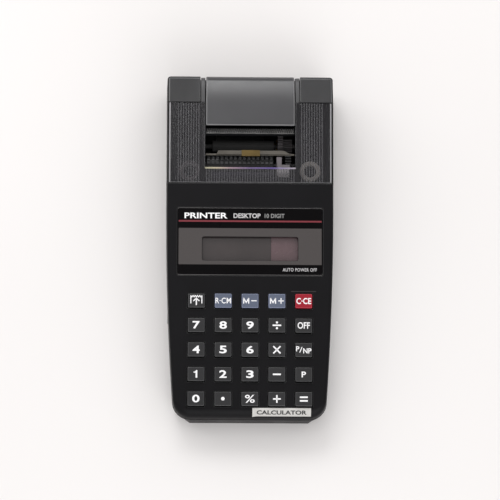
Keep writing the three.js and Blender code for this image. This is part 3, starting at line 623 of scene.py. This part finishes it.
# ---------------- case
def build_upper_case():
    shell = solid(upper_form(SEAM_Z + GAP / 2, 0.0))
    tools = [solid(upper_form(SEAM_Z - 1, WALL))]
    half_x, half_y = KEY_WIDTH / 2 + KEY_HOLE_GAP, KEY_DEPTH / 2 + KEY_HOLE_GAP
    for place in KEY_PLACES.values():
        hole = rounded_rectangle(half_x, half_y, 0.7, place, 3)
        tools.append(solid(along_z(hole, -6, 4), DECK))
    recess = rounded_rectangle(PANEL_HALF_WIDTH + GAP, PANEL_HALF_DEPTH + GAP, 0.7, (0, PANEL_CENTRE))
    tools.append(solid(along_z(recess, -1.2, 3), DECK))
    half_x, half_y = LCD_HALF_WIDTH + 1.4, LCD_HALF_DEPTH + 1.3
    room = block(-half_x, half_x, LCD_CENTRE - half_y, LCD_CENTRE + half_y, -6, 2)
    tools.append(solid(room, DECK))
    tools.append(solid(block(-BAY_HALF_WIDTH, BAY_HALF_WIDTH, BAY_FRONT_Y, RIDGE_Y, SEAM_Z + 8, 60)))
    slot_half = STRIP_HALF_WIDTH + GAP
    slot_floor = HINGE_Z - REAR_ROUND - GAP
    tools.append(solid(block(-slot_half, slot_half, RIDGE_Y - 1, REAR_Y + 5, slot_floor, 60)))
    combine(shell, "DIFFERENCE", tools)
    clean(shell)
    # The bevels get the lighter copy of the case material, a painted highlight.
    soften(shell, 0.22, angle=50, edge_material=1)
    # The rear corner blocks' tops get a slightly paler copy of the case material, a painted reflection,
    # and the faces rounding their edges a grey painted glint.
    corner_y = RIDGE_Y + 0.4
    mark_faces(shell, 2, lambda normal, centre: centre.y > corner_y and normal.z > 0.9)
    mark_faces(shell, 3, lambda normal, centre: centre.y > corner_y and 0.84 < normal.z < 0.965)
    looks = (case_black, case_bevel_highlight, corner_top_reflection, corner_edge_glint)
    finish(shell, "case_top", "case", "case_plastic", *looks, replaces=["upper_case"])


# ---------------- keys
def key_cap_mesh():
    """A cap about its own centre: bevelled sides, rounded corners and a slightly dished top."""
    bm = bmesh.new()
    foot, dish_inset = -3.0, 0.55
    levels = [(foot, 0.0), (KEY_RISE - 0.34, 0.0), (KEY_RISE - 0.12, 0.08), (KEY_RISE, 0.28)]
    rings = []
    for z, inset in levels:
        half_x, half_y = KEY_WIDTH / 2 - inset, KEY_DEPTH / 2 - inset
        outline = rounded_rectangle(half_x, half_y, 0.45 - inset * 0.4, steps=4)
        rings.append([bm.verts.new((x, y, z)) for x, y in outline])
    count = len(rings[0])
    for lower, upper in zip(rings, rings[1:]):
        for i in range(count):
            j = (i + 1) % count
            bm.faces.new((lower[i], lower[j], upper[j], upper[i]))
    half_x, half_y = KEY_WIDTH / 2 - dish_inset, KEY_DEPTH / 2 - dish_inset
    inner = rounded_rectangle(half_x, half_y, 0.3, steps=4)
    dish = [bm.verts.new((x, y, KEY_RISE - KEY_DISH)) for x, y in inner]
    for i in range(count):
        j = (i + 1) % count
        bm.faces.new((rings[-1][i], rings[-1][j], dish[j], dish[i]))
    bm.faces.new(dish)
    bm.faces.new(list(reversed(rings[0])))
    bmesh.ops.recalc_face_normals(bm, faces=bm.faces)
    # The bevel faces get the lighter copy of the key's colour, a painted highlight.
    for face in bm.faces:
        height = face.calc_center_median().z
        bevelled = KEY_RISE - 0.4 < height < KEY_RISE - 0.02 and face.normal.z < 0.95
        face.material_index = int(bevelled)
    return bm


KEY_COLOURS = {"key_clear": ("key_red", key_red, key_red_highlight)}
for name in ("key_memory_recall", "key_memory_minus", "key_memory_plus"):
    KEY_COLOURS[name] = ("key_blue", key_blue, key_blue_highlight)


def build_keys():
    for name, (x, y) in KEY_PLACES.items():
        slot, face, edge = KEY_COLOURS.get(name, ("key_grey", key_grey, key_grey_highlight))
        cap = solid(key_cap_mesh(), DECK @ Matrix.Translation((x, y, 0)))
        cap_name = name.replace("key_", "cap_")
        finish(cap, cap_name, body_of(name), slot, face, edge, smooth=60, replaces=[name])


def body_of(node):
    return frame["nodes"][node]["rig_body"]


# ---------------- printing on the surfaces
INK_THICKNESS = 0.03


def text_solid(words, height, width, weight=0.0, thickness=INK_THICKNESS, spacing=1.0):
    """Words as a thin solid centred on the origin, scaled to a height and a width."""
    curve = bpy.data.curves.new("words", "FONT")
    curve.body = words
    curve.size = 1.0
    curve.offset = weight
    curve.space_character = spacing
    curve.extrude = 0.5
    curve.resolution_u = 4
    obj = bpy.data.objects.new("words", curve)
    bpy.context.scene.collection.objects.link(obj)
    graph = bpy.context.evaluated_depsgraph_get()
    mesh = bpy.data.meshes.new_from_object(obj.evaluated_get(graph))
    bpy.data.objects.remove(obj)
    bpy.data.curves.remove(curve)
    xs = [v.co.x for v in mesh.vertices]
    ys = [v.co.y for v in mesh.vertices]
    middle = Vector(((max(xs) + min(xs)) / 2, (max(ys) + min(ys)) / 2, 0))
    scale = (width / (max(xs) - min(xs)), height / (max(ys) - min(ys)), thickness, 1)
    mesh.transform(Matrix.Diagonal(scale) @ Matrix.Translation(-middle))
    bm = bmesh.new()
    bm.from_mesh(mesh)
    bpy.data.meshes.remove(mesh)
    return bm


def flat(outline):
    """A flat printed shape, as thin as ink."""
    return along_z(outline, -INK_THICKNESS / 2, INK_THICKNESS / 2)


def bar(x0, x1, y0, y1):
    return flat([(x0, y0), (x1, y0), (x1, y1), (x0, y1)])


def disc(x, y, radius):
    return flat(arc((x, y), radius, 0, 345, 23))


def stroke(points, width):
    """A polyline drawn with a flat pen of that width, mitred at its corners."""
    sides = ([], [])
    for i, point in enumerate(points):
        here = Vector(point)
        before = (here - Vector(points[i - 1])).normalized() if i else None
        after = (Vector(points[i + 1]) - here).normalized() if i + 1 < len(points) else None
        along = ((before or after) + (after or before)).normalized()
        normal = Vector((-along.y, along.x))
        reach = width / 2 / max(0.35, abs(along.dot(before or after)))
        for side, sign in zip(sides, (1, -1)):
            side.append(tuple(here + normal * reach * sign))
    return flat(sides[0] + sides[1][::-1])


def plus_sign(centre, reach, pen):
    return joined(
        bar(centre - reach, centre + reach, -pen / 2, pen / 2),
        bar(centre - pen / 2, centre + pen / 2, -reach, reach),
    )


def times_sign():
    reach = 1.8
    return joined(*(stroke([(-reach, -rise), (reach, rise)], 0.72) for rise in (reach, -reach)))


def divide_sign():
    return joined(bar(-2.15, 2.15, -0.38, 0.38), disc(0, 1.45, 0.55), disc(0, -1.45, 0.55))


def moved(shape, x, y=0.0):
    shape.transform(Matrix.Translation((x, y, 0)))
    return shape


def paper_feed_icon():
    """A sheet torn off along a zigzag, with an arrow going up."""
    tear = [(-2.8 + 0.56 * i, 1.75 if i % 2 else 2.5) for i in range(11)]
    return joined(
        stroke(tear, 0.42),
        bar(-3.0, -2.5, -1.5, 2.6),
        bar(2.5, 3.0, -1.5, 2.6),
        stroke([(-1.5, -0.25), (0.0, 1.1), (1.5, -0.25)], 0.55),
        bar(-0.3, 0.3, -2.35, 0.9),
    )


def digit_one():
    """A one with a flag, which the font's own one lacks."""
    half, stem, flag = 1.9, 0.65, 0.62
    outline = [(-0.2, -half), (stem, -half), (stem, half), (0.05, half)]
    outline += [(-0.4, 1.25), (-1.2, 1.1), (-1.2, flag), (-0.2, flag)]
    return flat(outline)


def letter_m(x):
    half, pen = 1.45, 0.52
    legs = [bar(side - pen / 2, side + pen / 2, -half, half) for side in (-1.25, 1.25)]
    return moved(joined(*legs, stroke([(-1.25, half - 0.2), (0, -0.9), (1.25, half - 0.2)], pen)), x)


def print_mode_words():
    """P, a slash and NP, stepping down to the right."""
    return joined(
        moved(text_solid("P", 2.6, 1.6, 0.02), -3.05, 0.55),
        stroke([(-2.05, -1.35), (-0.85, 1.5)], 0.4),
        moved(text_solid("NP", 2.6, 4.1, 0.02), 1.75, -0.45),
    )


# Words are (text, height, width, weight of the letters), and then thickness and spacing if they differ.
KEY_WORDS = {
    "key_memory_recall": ("R·CM", 2.9, 7.8, 0.012, INK_THICKNESS, 1.08),
    "key_clear": ("C·CE", 3.1, 7.4, 0.02),
    "key_off": ("OFF", 3.3, 6.2, 0.018),
    "key_print": ("P", 2.9, 2.2, 0.02),
    "key_percent": ("%", 4.0, 4.9, 0.008),
}
KEY_SIGNS = {
    "key_1": digit_one,
    "key_point": lambda: disc(0, 0, 0.9),
    "key_plus": lambda: plus_sign(0, 1.95, 0.72),
    "key_minus": lambda: bar(-2.0, 2.0, -0.4, 0.4),
    "key_equals": lambda: joined(bar(-2.0, 2.0, 0.5, 1.3), bar(-2.0, 2.0, -1.3, -0.5)),
    "key_multiply": times_sign,
    "key_divide": divide_sign,
    "key_memory_minus": lambda: joined(letter_m(-1.95), bar(0.6, 3.3, -0.25, 0.25)),
    "key_memory_plus": lambda: joined(letter_m(-1.95), plus_sign(2.05, 1.4, 0.5)),
    "key_print_mode": print_mode_words,
    "key_paper_feed": paper_feed_icon,
}


def legend_shape(name):
    """The marking on a key, centred on it: a sign, a word or a digit."""
    if name in KEY_SIGNS:
        return KEY_SIGNS[name]()
    if name in KEY_WORDS:
        return text_solid(*KEY_WORDS[name])
    return text_solid(name[-1], 3.85, 3.7, 0.024)


def build_legends():
    x, y = KEY_PLACES["key_clear"]
    place = DECK @ Matrix.Translation((x, y + KEY_DEPTH / 2 + 1.5, 0.012))
    finish(solid(bar(-6.3, 6.3, -0.18, 0.18), place), "deck_dash", "case", "case_plastic", ink_faint)
    for name, (x, y) in KEY_PLACES.items():
        place = DECK @ Matrix.Translation((x, y, KEY_RISE - KEY_DISH + 0.014))
        mark = solid(legend_shape(name), place)
        finish(mark, name.replace("key_", "mark_"), body_of(name), "key_grey", ink_white, smooth=30)


# ---------------- display panel
def on_panel(bm, x, y, lift=0.02):
    """A flat mesh laid on the panel, y counted along the deck."""
    return solid(bm, DECK @ Matrix.Translation((x, y, PANEL_PROUD + lift)))


def build_panel():
    outline = rounded_rectangle(PANEL_HALF_WIDTH, PANEL_HALF_DEPTH, 0.6, (0, PANEL_CENTRE))
    plate = solid(along_z(outline, PANEL_PROUD - PANEL_THICKNESS, PANEL_PROUD), DECK)
    window = rounded_rectangle(LCD_HALF_WIDTH, LCD_HALF_DEPTH, 1.0, (0, LCD_CENTRE))
    combine(plate, "DIFFERENCE", [solid(along_z(window, -4, 3), DECK)])
    clean(plate)
    soften(plate, 0.16, angle=50, edge_material=1)
    deck = DECK.inverted()
    reach = PANEL_HALF_DEPTH - 1
    # Only the bevels at the top and bottom edges keep the pale material, a painted highlight.
    mark_faces(plate, 0, lambda normal, centre: abs((deck @ centre).y - PANEL_CENTRE) < reach)
    looks = (panel_black, panel_bevel_highlight)
    finish(plate, "panel_plate", "case", "panel_black", *looks, replaces=["display_panel"])

    band_low, band_high = 77.2, 95.7
    middle = (band_low + band_high) / 2
    outline = rounded_rectangle(PRINT_HALF_WIDTH, (band_high - band_low) / 2, 0.2, (0, middle))
    band = solid(along_z(outline, PANEL_PROUD, PANEL_PROUD + INK_THICKNESS), DECK)
    hole = rounded_rectangle(LCD_HALF_WIDTH + 0.15, LCD_HALF_DEPTH + 0.15, 1.1, (0, LCD_CENTRE))
    combine(band, "DIFFERENCE", [solid(along_z(hole, -4, 3), DECK)])
    finish(band, "panel_band", "case", "panel_black", band_grey, smooth=30)

    line = on_panel(bar(-PRINT_HALF_WIDTH, PRINT_HALF_WIDTH, -0.42, 0.42), 0, 99.3)
    finish(line, "panel_line", "case", "panel_black", ink_red, smooth=30)

    def words(name, text, centre, y, height, width, ink, weight, spacing=1.0):
        mark = on_panel(text_solid(text, height, width, weight, spacing=spacing), centre, y)
        finish(mark, name, "case", "panel_black", ink, smooth=30)

    title_y, note_y = 102.1, 74.7
    words("panel_title", "PRINTER", -22.3, title_y, 2.9, 21.6, ink_white, 0.022)
    words("panel_subtitle", "DESKTOP", -1.6, title_y, 2.4, 13.6, ink_pale, 0.022)
    words("panel_type", "10 DIGIT", 12.3, title_y, 2.2, 10.0, ink_dim, 0.016, 1.05)
    words("panel_note", "AUTO POWER OFF", 25.0, note_y, 1.7, 17.2, ink_pale, 0.006, 1.1)


def build_lcd():
    """The cell under the window, in two halves: darker on the left, lighter and rosier on the right."""
    end, split, half_depth, thickness = 28, 10.6, 9.5, 1.6
    low, high = LCD_CENTRE - half_depth, LCD_CENTRE + half_depth
    halves = (
        ("lcd_left", -end, split, lcd_dark, ["lcd_glass"]),
        ("lcd_right", split, end, lcd_rose, []),
    )
    for name, x0, x1, look, nodes in halves:
        cell = solid(block(x0, x1, low, high, LCD_TOP - thickness, LCD_TOP), DECK)
        soften(cell, 0.15)
        finish(cell, name, "case", "lcd", look, replaces=nodes)


# ---------------- sticker on the front edge
def front_edge_point(x, distance, lift):
    """A point on the front fillet, at a distance along the surface from where it starts."""
    centre_y = FRONT_Y + CASE_DRAFT + FRONT_EDGE_RADIUS
    centre_z = deck_height(centre_y) - FRONT_EDGE_RADIUS
    angle = distance / FRONT_EDGE_RADIUS
    radius = FRONT_EDGE_RADIUS + lift
    return Vector((x, centre_y - radius * math.sin(angle), centre_z + radius * math.cos(angle)))


def build_sticker():
    """A paper label bent round the front fillet, with its lower left corner lifting."""
    left, right, start, length, curled = 1.3, 30.6, 0.45, 4.45, 3.0
    clearance, thickness, curl_height, print_lift = 0.06, 0.1, 0.5, 0.19
    columns, rows = 30, 12
    bm = bmesh.new()
    sheets = []
    for lift in (clearance, clearance + thickness):
        grid = []
        for i in range(columns + 1):
            x = left + (right - left) * i / columns
            corner = max(0.0, 1 - (x - left) / curled)
            column = []
            for j in range(rows + 1):
                distance = length * j / rows
                curl = curl_height * corner**2 * max(0.0, (distance / length - 0.5) * 2) ** 2
                column.append(bm.verts.new(front_edge_point(x, start + distance, lift + curl)))
            grid.append(column)
        sheets.append(grid)
    for grid in sheets:
        for i in range(columns):
            for j in range(rows):
                bm.faces.new((grid[i][j], grid[i + 1][j], grid[i + 1][j + 1], grid[i][j + 1]))
    bottom, top = sheets
    edge = [(i, 0) for i in range(columns)] + [(columns, j) for j in range(rows)]
    edge += [(i, rows) for i in range(columns, 0, -1)] + [(0, j) for j in range(rows, 0, -1)]
    for (i, j), (k, m) in zip(edge, edge[1:] + edge[:1]):
        bm.faces.new((bottom[i][j], bottom[k][m], top[k][m], top[i][j]))
    bmesh.ops.recalc_face_normals(bm, faces=bm.faces)
    finish(solid(bm), "front_sticker", "case", "case_plastic", paper_white, smooth=60)

    words = text_solid("CALCULATOR", 2.15, 25.0, 0.03, thickness=0.04)
    for i in range(-4, 5):
        geometry = words.verts[:] + words.edges[:] + words.faces[:]
        bmesh.ops.bisect_plane(words, geom=geometry, plane_co=(0, 0.24 * i, 0), plane_no=(0, 1, 0))
    middle = (left + right) / 2
    for vertex in words.verts:
        x, y, z = vertex.co
        vertex.co = front_edge_point(middle + x, start + length / 2 - y, print_lift + z)
    finish(solid(words), "front_sticker_words", "case", "case_plastic", ink_dark, smooth=60)


# ---------------- cover
def over_the_top(front_y, lift, lowest):
    """The deck's profile over the ridge and round the rear, raised by lift."""
    points = [(front_y, deck_height(front_y) + lift), (RIDGE_Y, deck_height(RIDGE_Y) + lift)]
    start = 90 - math.degrees(REAR_SLOPE)
    return points + arc((HINGE_Y, HINGE_Z), REAR_ROUND + lift, start, lowest, 14)


def cover_section():
    """The cover across X in the deck's axes: a plate with chamfered edges and fine ribs along it."""
    edge, chamfer, base = COVER_HALF_WIDTH, 0.8, -COVER_THICKNESS
    outline = [(edge - chamfer, 0.0), (edge, -chamfer), (edge, base), (-edge, base)]
    outline += [(-edge, -chamfer), (-edge + chamfer, 0.0)]
    count = int(RIBBED_HALF_WIDTH / RIB_PITCH)
    for i in range(-count, count + 1):
        x = i * RIB_PITCH
        if WINDOW_HALF_WIDTH - 0.6 < abs(x) < STRIP_HALF_WIDTH + 0.6:
            continue
        outline += [(x - 0.26, 0.0), (x - 0.18, RIB_HEIGHT), (x + 0.18, RIB_HEIGHT), (x + 0.26, 0.0)]
    return outline


def cover_plate():
    """The flat part of the cover, with the window cut out and its front edge sloped."""
    y0 = (COVER_FRONT_Y - FRONT_Y) / math.cos(DECK_SLOPE)
    y1 = (RIDGE_Y - 0.25 - FRONT_Y) / math.cos(DECK_SLOPE)
    plate = solid(along_y(cover_section(), y0, y1), DECK)
    edge, level = WINDOW_FRONT_Y, deck_height(WINDOW_FRONT_Y)
    slope = [(edge - 1.3, level + 0.1), (edge + 1, level + 1.5), (edge + 0.1, level - 1.2)]
    tools = [
        solid(block(-WINDOW_HALF_WIDTH, WINDOW_HALF_WIDTH, edge, REAR_Y, 15, 60)),
        solid(along_x(slope, -WINDOW_HALF_WIDTH, WINDOW_HALF_WIDTH)),
    ]
    combine(plate, "DIFFERENCE", tools)
    return plate


def cover_sides():
    """For each side, the strip over the rear with the flap's hinge, and the skirt."""
    skirt_low, skirt_high = deck_height(COVER_FRONT_Y) - 6.6, deck_height(SKIRT_FRONT_Y) - 1
    pieces = []
    for side in (-1, 1):
        a, b = sorted((side * WINDOW_HALF_WIDTH, side * STRIP_HALF_WIDTH))
        outer = over_the_top(RIDGE_Y - 3, 0.0, -30)
        inner = over_the_top(RIDGE_Y - 3, -COVER_THICKNESS, -30)
        pieces.append(solid(along_x(outer + inner[::-1], a, b)))
        pieces.append(solid(along_x(arc((HINGE_Y, HINGE_Z), 3.2, 0, 350, 35), a, b)))
        c, d = sorted((side * (COVER_HALF_WIDTH - 1.2), side * COVER_HALF_WIDTH))
        pieces.append(solid(block(c, d, SKIRT_FRONT_Y, SKIRT_REAR_Y, skirt_low, skirt_high)))
    return pieces


COVER_LOOKS = (smoke, smoke_highlight_line, sheen_edge, smoke_rib, smoke_strip, smoke_chamfer_glint)


def mark_cover(plate):
    """Gives the cover's faces their materials; each mark overrules the ones before it."""
    deck = DECK.inverted()

    def rear_edge(normal, centre):
        return centre.y > RIDGE_Y - 1.5

    def side_chamfer(normal, centre):
        return abs(normal.x) > 0.4 and normal.z > 0.3 and abs(centre.x) > COVER_HALF_WIDTH - 2

    def window_slope(normal, centre):
        past = centre.y - WINDOW_FRONT_Y
        return 0.3 < normal.y < 0.95 and -1.8 < past < 0.3 and centre.z > 28

    def rib(normal, centre):
        return abs(normal.y) < 0.3 and 0.01 < (deck @ centre).z < 0.2

    def rear_strip(normal, centre):
        return centre.y > RIDGE_Y - 3 and abs(centre.x) < STRIP_HALF_WIDTH + 0.1

    marks = (
        (smoke, rear_edge),
        # The side chamfers get the painted glint.
        (smoke_chamfer_glint, side_chamfer),
        # The window's sloped front edge gets the painted sheen.
        (sheen_edge, window_slope),
        (smoke_rib, rib),
        (smoke_strip, rear_strip),
    )
    for look, test in marks:
        mark_faces(plate, COVER_LOOKS.index(look), test)


def build_cover():
    plate = cover_plate()
    combine(plate, "UNION", cover_sides())
    clean(plate)
    # The bevels get the pale smoke, a painted highlight line.
    soften(plate, 0.25, angle=70, edge_material=1)
    mark_cover(plate)
    finish(plate, "cover_shell", "cover", "smoke_clear", *COVER_LOOKS, replaces=["printer_cover"])


def build_flap():
    outer = over_the_top(FLAP_FRONT_Y, FLAP_PROUD, -60)
    inner = over_the_top(FLAP_FRONT_Y, FLAP_PROUD - COVER_THICKNESS, -60)
    sheet = solid(along_x(outer + inner[::-1], -FLAP_HALF_WIDTH, FLAP_HALF_WIDTH))
    extras = []
    for side in (-1, 1):
        a, b = sorted((side * (FLAP_HALF_WIDTH - 1.5), side * FLAP_HALF_WIDTH))
        extras.append(solid(along_x(arc((HINGE_Y, HINGE_Z), 3.3, 0, 350, 35), a, b)))
        c, d = sorted((side * (FLAP_HALF_WIDTH - 0.5), side * (STRIP_HALF_WIDTH - 0.2)))
        extras.append(solid(along_x(arc((HINGE_Y, HINGE_Z), 1.1, 0, 345, 23), c, d)))
    combine(sheet, "UNION", extras)
    clean(sheet)
    # The bevels get the paler frosted plastic, a painted highlight.
    soften(sheet, 0.55, segments=3, angle=50, edge_material=1)
    finish(sheet, "flap_shell", "flap", "smoke_frosted", frosted, frosted_bevel_highlight, replaces=["paper_flap"])


# ---------------- printer
def around_x(x0, x1, radius, axis, steps=48):
    return along_x(arc(axis, radius, 0, 360 - 360 / steps, steps - 1), x0, x1)


def type_wheel(x):
    """A narrow wheel with raised type round its rim."""
    root, tip = WHEEL_RADIUS, DRUM_RADIUS
    outline = []
    for i in range(12):
        for degrees, radius in ((-15, root), (-8, root), (-6, tip), (6, tip), (8, root)):
            angle = math.radians(30 * i + degrees)
            outline.append((DRUM[0] + radius * math.cos(angle), DRUM[1] + radius * math.sin(angle)))
    return along_x(outline, x - 0.78, x + 0.78)


def gear_wheel(teeth, module, x0, x1, axis):
    """Straight teeth; each point of a tooth is a share of the pitch and a height in modules."""
    pitch = teeth * module / 2
    rise = [(-0.33, -1.3), (-0.24, 0.0), (-0.12, 0.8)]
    tooth = rise + [(-share, height) for share, height in reversed(rise)]
    outline = []
    for i in range(teeth):
        for share, height in tooth:
            angle = 2 * math.pi * (i + share) / teeth
            reach = pitch + height * module
            outline.append((axis[0] + reach * math.cos(angle), axis[1] + reach * math.sin(angle)))
    return along_x(outline, x0, x1)


def build_type_drum():
    first, hub, shaft = -21.0, 5.0, 1.5
    parts = [type_wheel(first + TYPE_PITCH * i) for i in range(TYPE_WHEELS)]
    parts.append(around_x(-22, 12, hub, DRUM))
    parts.append(around_x(-24.2, 24.2, shaft, DRUM, 24))
    parts.append(gear_wheel(DRUM_TEETH, GEAR_MODULE, 17.9, 21.0, DRUM))
    wheels = solid(joined(*parts))
    soften(wheels, 0.1, segments=1, angle=40)
    axis = Vector((0, *DRUM))

    def raised_type(normal, centre):
        return (centre - axis).yz.length > 6.2 and abs(normal.x) < 0.1

    # The raised type gets the lighter black, a painted highlight for the glints along the wheels.
    mark_faces(wheels, 1, raised_type)
    looks = (type_black, type_highlight)
    finish(wheels, "type_wheels", "drum", "type_plastic", *looks, smooth=40, replaces=["type_drum"])


def build_tear_bar():
    """A thin blade with a saw-toothed rear edge, lying at a slight slope, with a rolled front edge."""
    teeth, half, root, tip = 48, 22.2, 0.7, 2.5
    pitch = 2 * half / teeth
    outline = [(-half, 0.0), (half, 0.0), (half, root)]
    for i in range(teeth):
        outline.append((half - (i + 0.35) * pitch, tip))
        outline.append((half - (i + 0.65) * pitch, tip))
        outline.append((half - (i + 1) * pitch, root))
    front_edge, slope = (0, 56.8, 29.9), math.radians(14)
    place = Matrix.Translation(front_edge) @ Matrix.Rotation(slope, 4, "X")
    rolled = along_x([(-0.1, 0.05), (0.35, 0.05), (0.35, 0.75), (-0.1, 0.6)], -half, half)
    blade = solid(joined(along_z(outline, 0, 0.5), rolled), place)
    soften(blade, 0.08, segments=1, angle=50, edge_material=1)
    finish(blade, "tear_blade", "case", "steel", tear_steel, steel, smooth=30, replaces=["tear_bar"])


def build_paper_guide():
    """A bar with tapered ends on a thin rod."""
    front, rear = 46.9, 49.0
    outline = [(-17.0, front), (-16.2, rear), (17.2, rear), (19.6, front + 0.7), (20.6, front)]
    rod = block(-22.6, 22.6, 46.5, 47.5, 25.0, 25.8)
    guide = solid(along_z(outline, 25.6, 26.5))
    combine(guide, "UNION", [solid(rod)])
    clean(guide)
    soften(guide, 0.15, angle=50)
    finish(guide, "guide_bar", "case", "steel", dull_steel, smooth=50, replaces=["paper_guide"])


def build_ink_lever():
    """An L-shaped handle with a finger ridge and a paler pad, both under the cover."""
    left, right, front, rear, bottom, top = 13.4, 20.2, 34.6, 41.6, 24.6, 26.6
    lever = solid(block(left, right, front, rear, bottom, top))
    arm = block(left, left + 2.7, rear - 0.2, rear + 4, bottom, top)
    ridge = block(left + 0.8, right - 0.8, front, front + 1.2, top - 0.2, top + 1)
    pad = block(left + 0.3, right - 0.2, front + 1, front + 4.6, top - 0.2, top + 0.4)
    combine(lever, "UNION", [solid(arm), solid(ridge), solid(pad)])
    clean(lever)
    soften(lever, 0.25, angle=50)
    mark_faces(lever, 1, lambda normal, centre: normal.z > 0.5 and centre.z > top + 0.1)
    looks = (nylon, nylon_pale)
    finish(lever, "lever_shell", "case", "nylon", *looks, smooth=50, replaces=["ink_lever"])


def build_grommets():
    outer, inner, edge = 5.5, 3.0, 0.6
    # The left ring is painted in shade with the darker copy of the cream rubber.
    for node, look in (("grommet_left", shaded_rubber), ("grommet_right", cream_rubber)):
        low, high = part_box(node)
        x, y = (low.x + high.x) / 2 / MM, (low.y + high.y) / 2 / MM
        bottom, top = low.z / MM, high.z / MM
        profile = arc((outer - edge, top - edge), edge, 0, 90, 5)
        profile += arc((inner + edge, top - edge), edge, 90, 180, 5)
        profile += [(inner, bottom), (outer, bottom)]
        ring = solid(lathe(profile, 48, lambda u, v, h: (x + u, y + v, h)))
        finish(ring, node.replace("grommet", "ring"), "case", "grommet", look, replaces=[node])


# ---------------- CAD nodes that keep their shape
CARRIED = {
    "lower_case": (case_black, 0.25),
    "battery_door": (case_black, 0.2),
    "printer_frame": (inner_black, 0.2),
    "dc_jack": (rubber_black, 0.15),
    "lcd_connector": (rubber_black, 0.1),
    "key_mat": (silicone, 0.15),
    "main_board": (board_green, 0.1),
    "battery_pack": (wrap_blue, 0.0),
    "battery_contact_spring": (steel, 0.08),
    "battery_contact_plate": (steel, 0.08),
    "printer_motor": (dark_steel, 0.2),
    "motor_pinion": (brass, 0.05),
    "feed_gear": (gear_nylon, 0.05),
    "feed_roller": (rubber_black, 0.15),
    "ink_roller": (ink_purple, 0.15),
    "guide_clip": (brass, 0.08),
}


def dress_cad_nodes():
    dressed = dict(CARRIED)
    for name in frame["nodes"]:
        if name.startswith("case_screw"):
            dressed[name] = (steel, 0.08)
        if name.startswith("foot_"):
            dressed[name] = (rubber_black, 0.15)
    for name, (material, radius) in dressed.items():
        node = frame["nodes"][name]
        node.data.materials.clear()
        node.data.materials.append(material)
        if radius:
            weld = node.modifiers.new("weld", "WELD")
            weld.merge_threshold = 0.01 * MM
            modifier = node.modifiers.new("soften", "BEVEL")
            modifier.width = radius * MM
            modifier.segments = 2
            modifier.limit_method = "ANGLE"
            modifier.angle_limit = math.radians(40)
            modifier.use_clamp_overlap = True


# ---------------- floor, light and camera
def build_floor():
    material, shader = node_material("floor_paper")
    links = material.node_tree.links
    cloud = noise(material, 3, detail=2)
    stops = [(0.3, (0.775, 0.759, 0.752)), (0.7, (0.8, 0.784, 0.777))]
    links.new(ramp(material, cloud, stops), shader.inputs["Base Color"])
    shader.inputs["Roughness"].default_value = 0.8
    shader.inputs["Specular IOR Level"].default_value = 0.1
    mesh = bpy.data.meshes.new("floor")
    corners = [(-4, -4, 0), (4, -4, 0), (4, 4, 0), (-4, 4, 0)]
    mesh.from_pydata(corners, [], [(0, 1, 2, 3)])
    mesh.materials.append(material)
    floor = bpy.data.objects.new("floor", mesh)
    bpy.context.scene.collection.objects.link(floor)


def add_softbox(name, direction, distance, size, power, colour=(1, 1, 1)):
    """A rectangular light that faces the object from that direction."""
    light = bpy.data.lights.new(name, "AREA")
    light.shape = "RECTANGLE"
    light.size, light.size_y = size
    light.energy = power
    light.color = colour
    obj = bpy.data.objects.new(name, light)
    bpy.context.scene.collection.objects.link(obj)
    aim = Vector(direction).normalized()
    obj.location = aim * distance
    obj.rotation_euler = (-aim).to_track_quat("-Z", "Y").to_euler()


def build_lights():
    add_softbox("rear_left", (-0.75, 0.6, 0.62), 1.5, (1.0, 1.0), 5, (1, 0.99, 0.98))
    add_softbox("rear_right", (0.6, 0.9, 0.5), 1.7, (1.2, 0.8), 2)
    add_softbox("rear", (-0.25, 1.1, 1.15), 1.62, (0.8, 0.5), 7)
    add_softbox("front", (0.3, -1.0, 0.6), 1.9, (1.6, 1.4), 13.5, (0.98, 0.99, 1))
    add_softbox("overhead", (-0.24, 0.33, 1.5), 1.55, (0.54, 0.42), 1.2)
    world = bpy.data.worlds.new("studio")
    world.use_nodes = True
    background = world.node_tree.nodes["Background"]
    background.inputs["Color"].default_value = (1, 0.98, 0.975, 1)
    background.inputs["Strength"].default_value = 0.74
    bpy.context.scene.world = world


def build_camera():
    """Seen from 76 degrees up over the user's edge, a degree and a half to the left."""
    camera = bpy.data.cameras.new("camera")
    distance, view_width = 1.5, 0.2532
    camera.lens = camera.sensor_width * distance / view_width
    camera.clip_end = 20
    obj = bpy.data.objects.new("camera", camera)
    bpy.context.scene.collection.objects.link(obj)
    elevation, lean = math.radians(76), math.radians(1.5)
    out = Vector((-math.sin(lean), -math.cos(elevation), math.sin(elevation))).normalized()
    target = Vector((0.0002, -0.0007, 0.017))
    right = (-out).cross(Vector((0, 1, 0))).normalized()
    up = right.cross(-out)
    turn = Matrix((right, up, out)).transposed().to_4x4()
    obj.matrix_world = Matrix.Translation(target + out * distance) @ turn
    bpy.context.scene.camera = obj


build_upper_case()
build_keys()
build_legends()
build_panel()
build_lcd()
build_sticker()
build_cover()
build_flap()
build_type_drum()
build_tear_bar()
build_paper_guide()
build_ink_lever()
build_grommets()
dress_cad_nodes()
build_floor()
build_lights()
build_camera()
bpy.context.scene.view_settings.view_transform = "Standard"
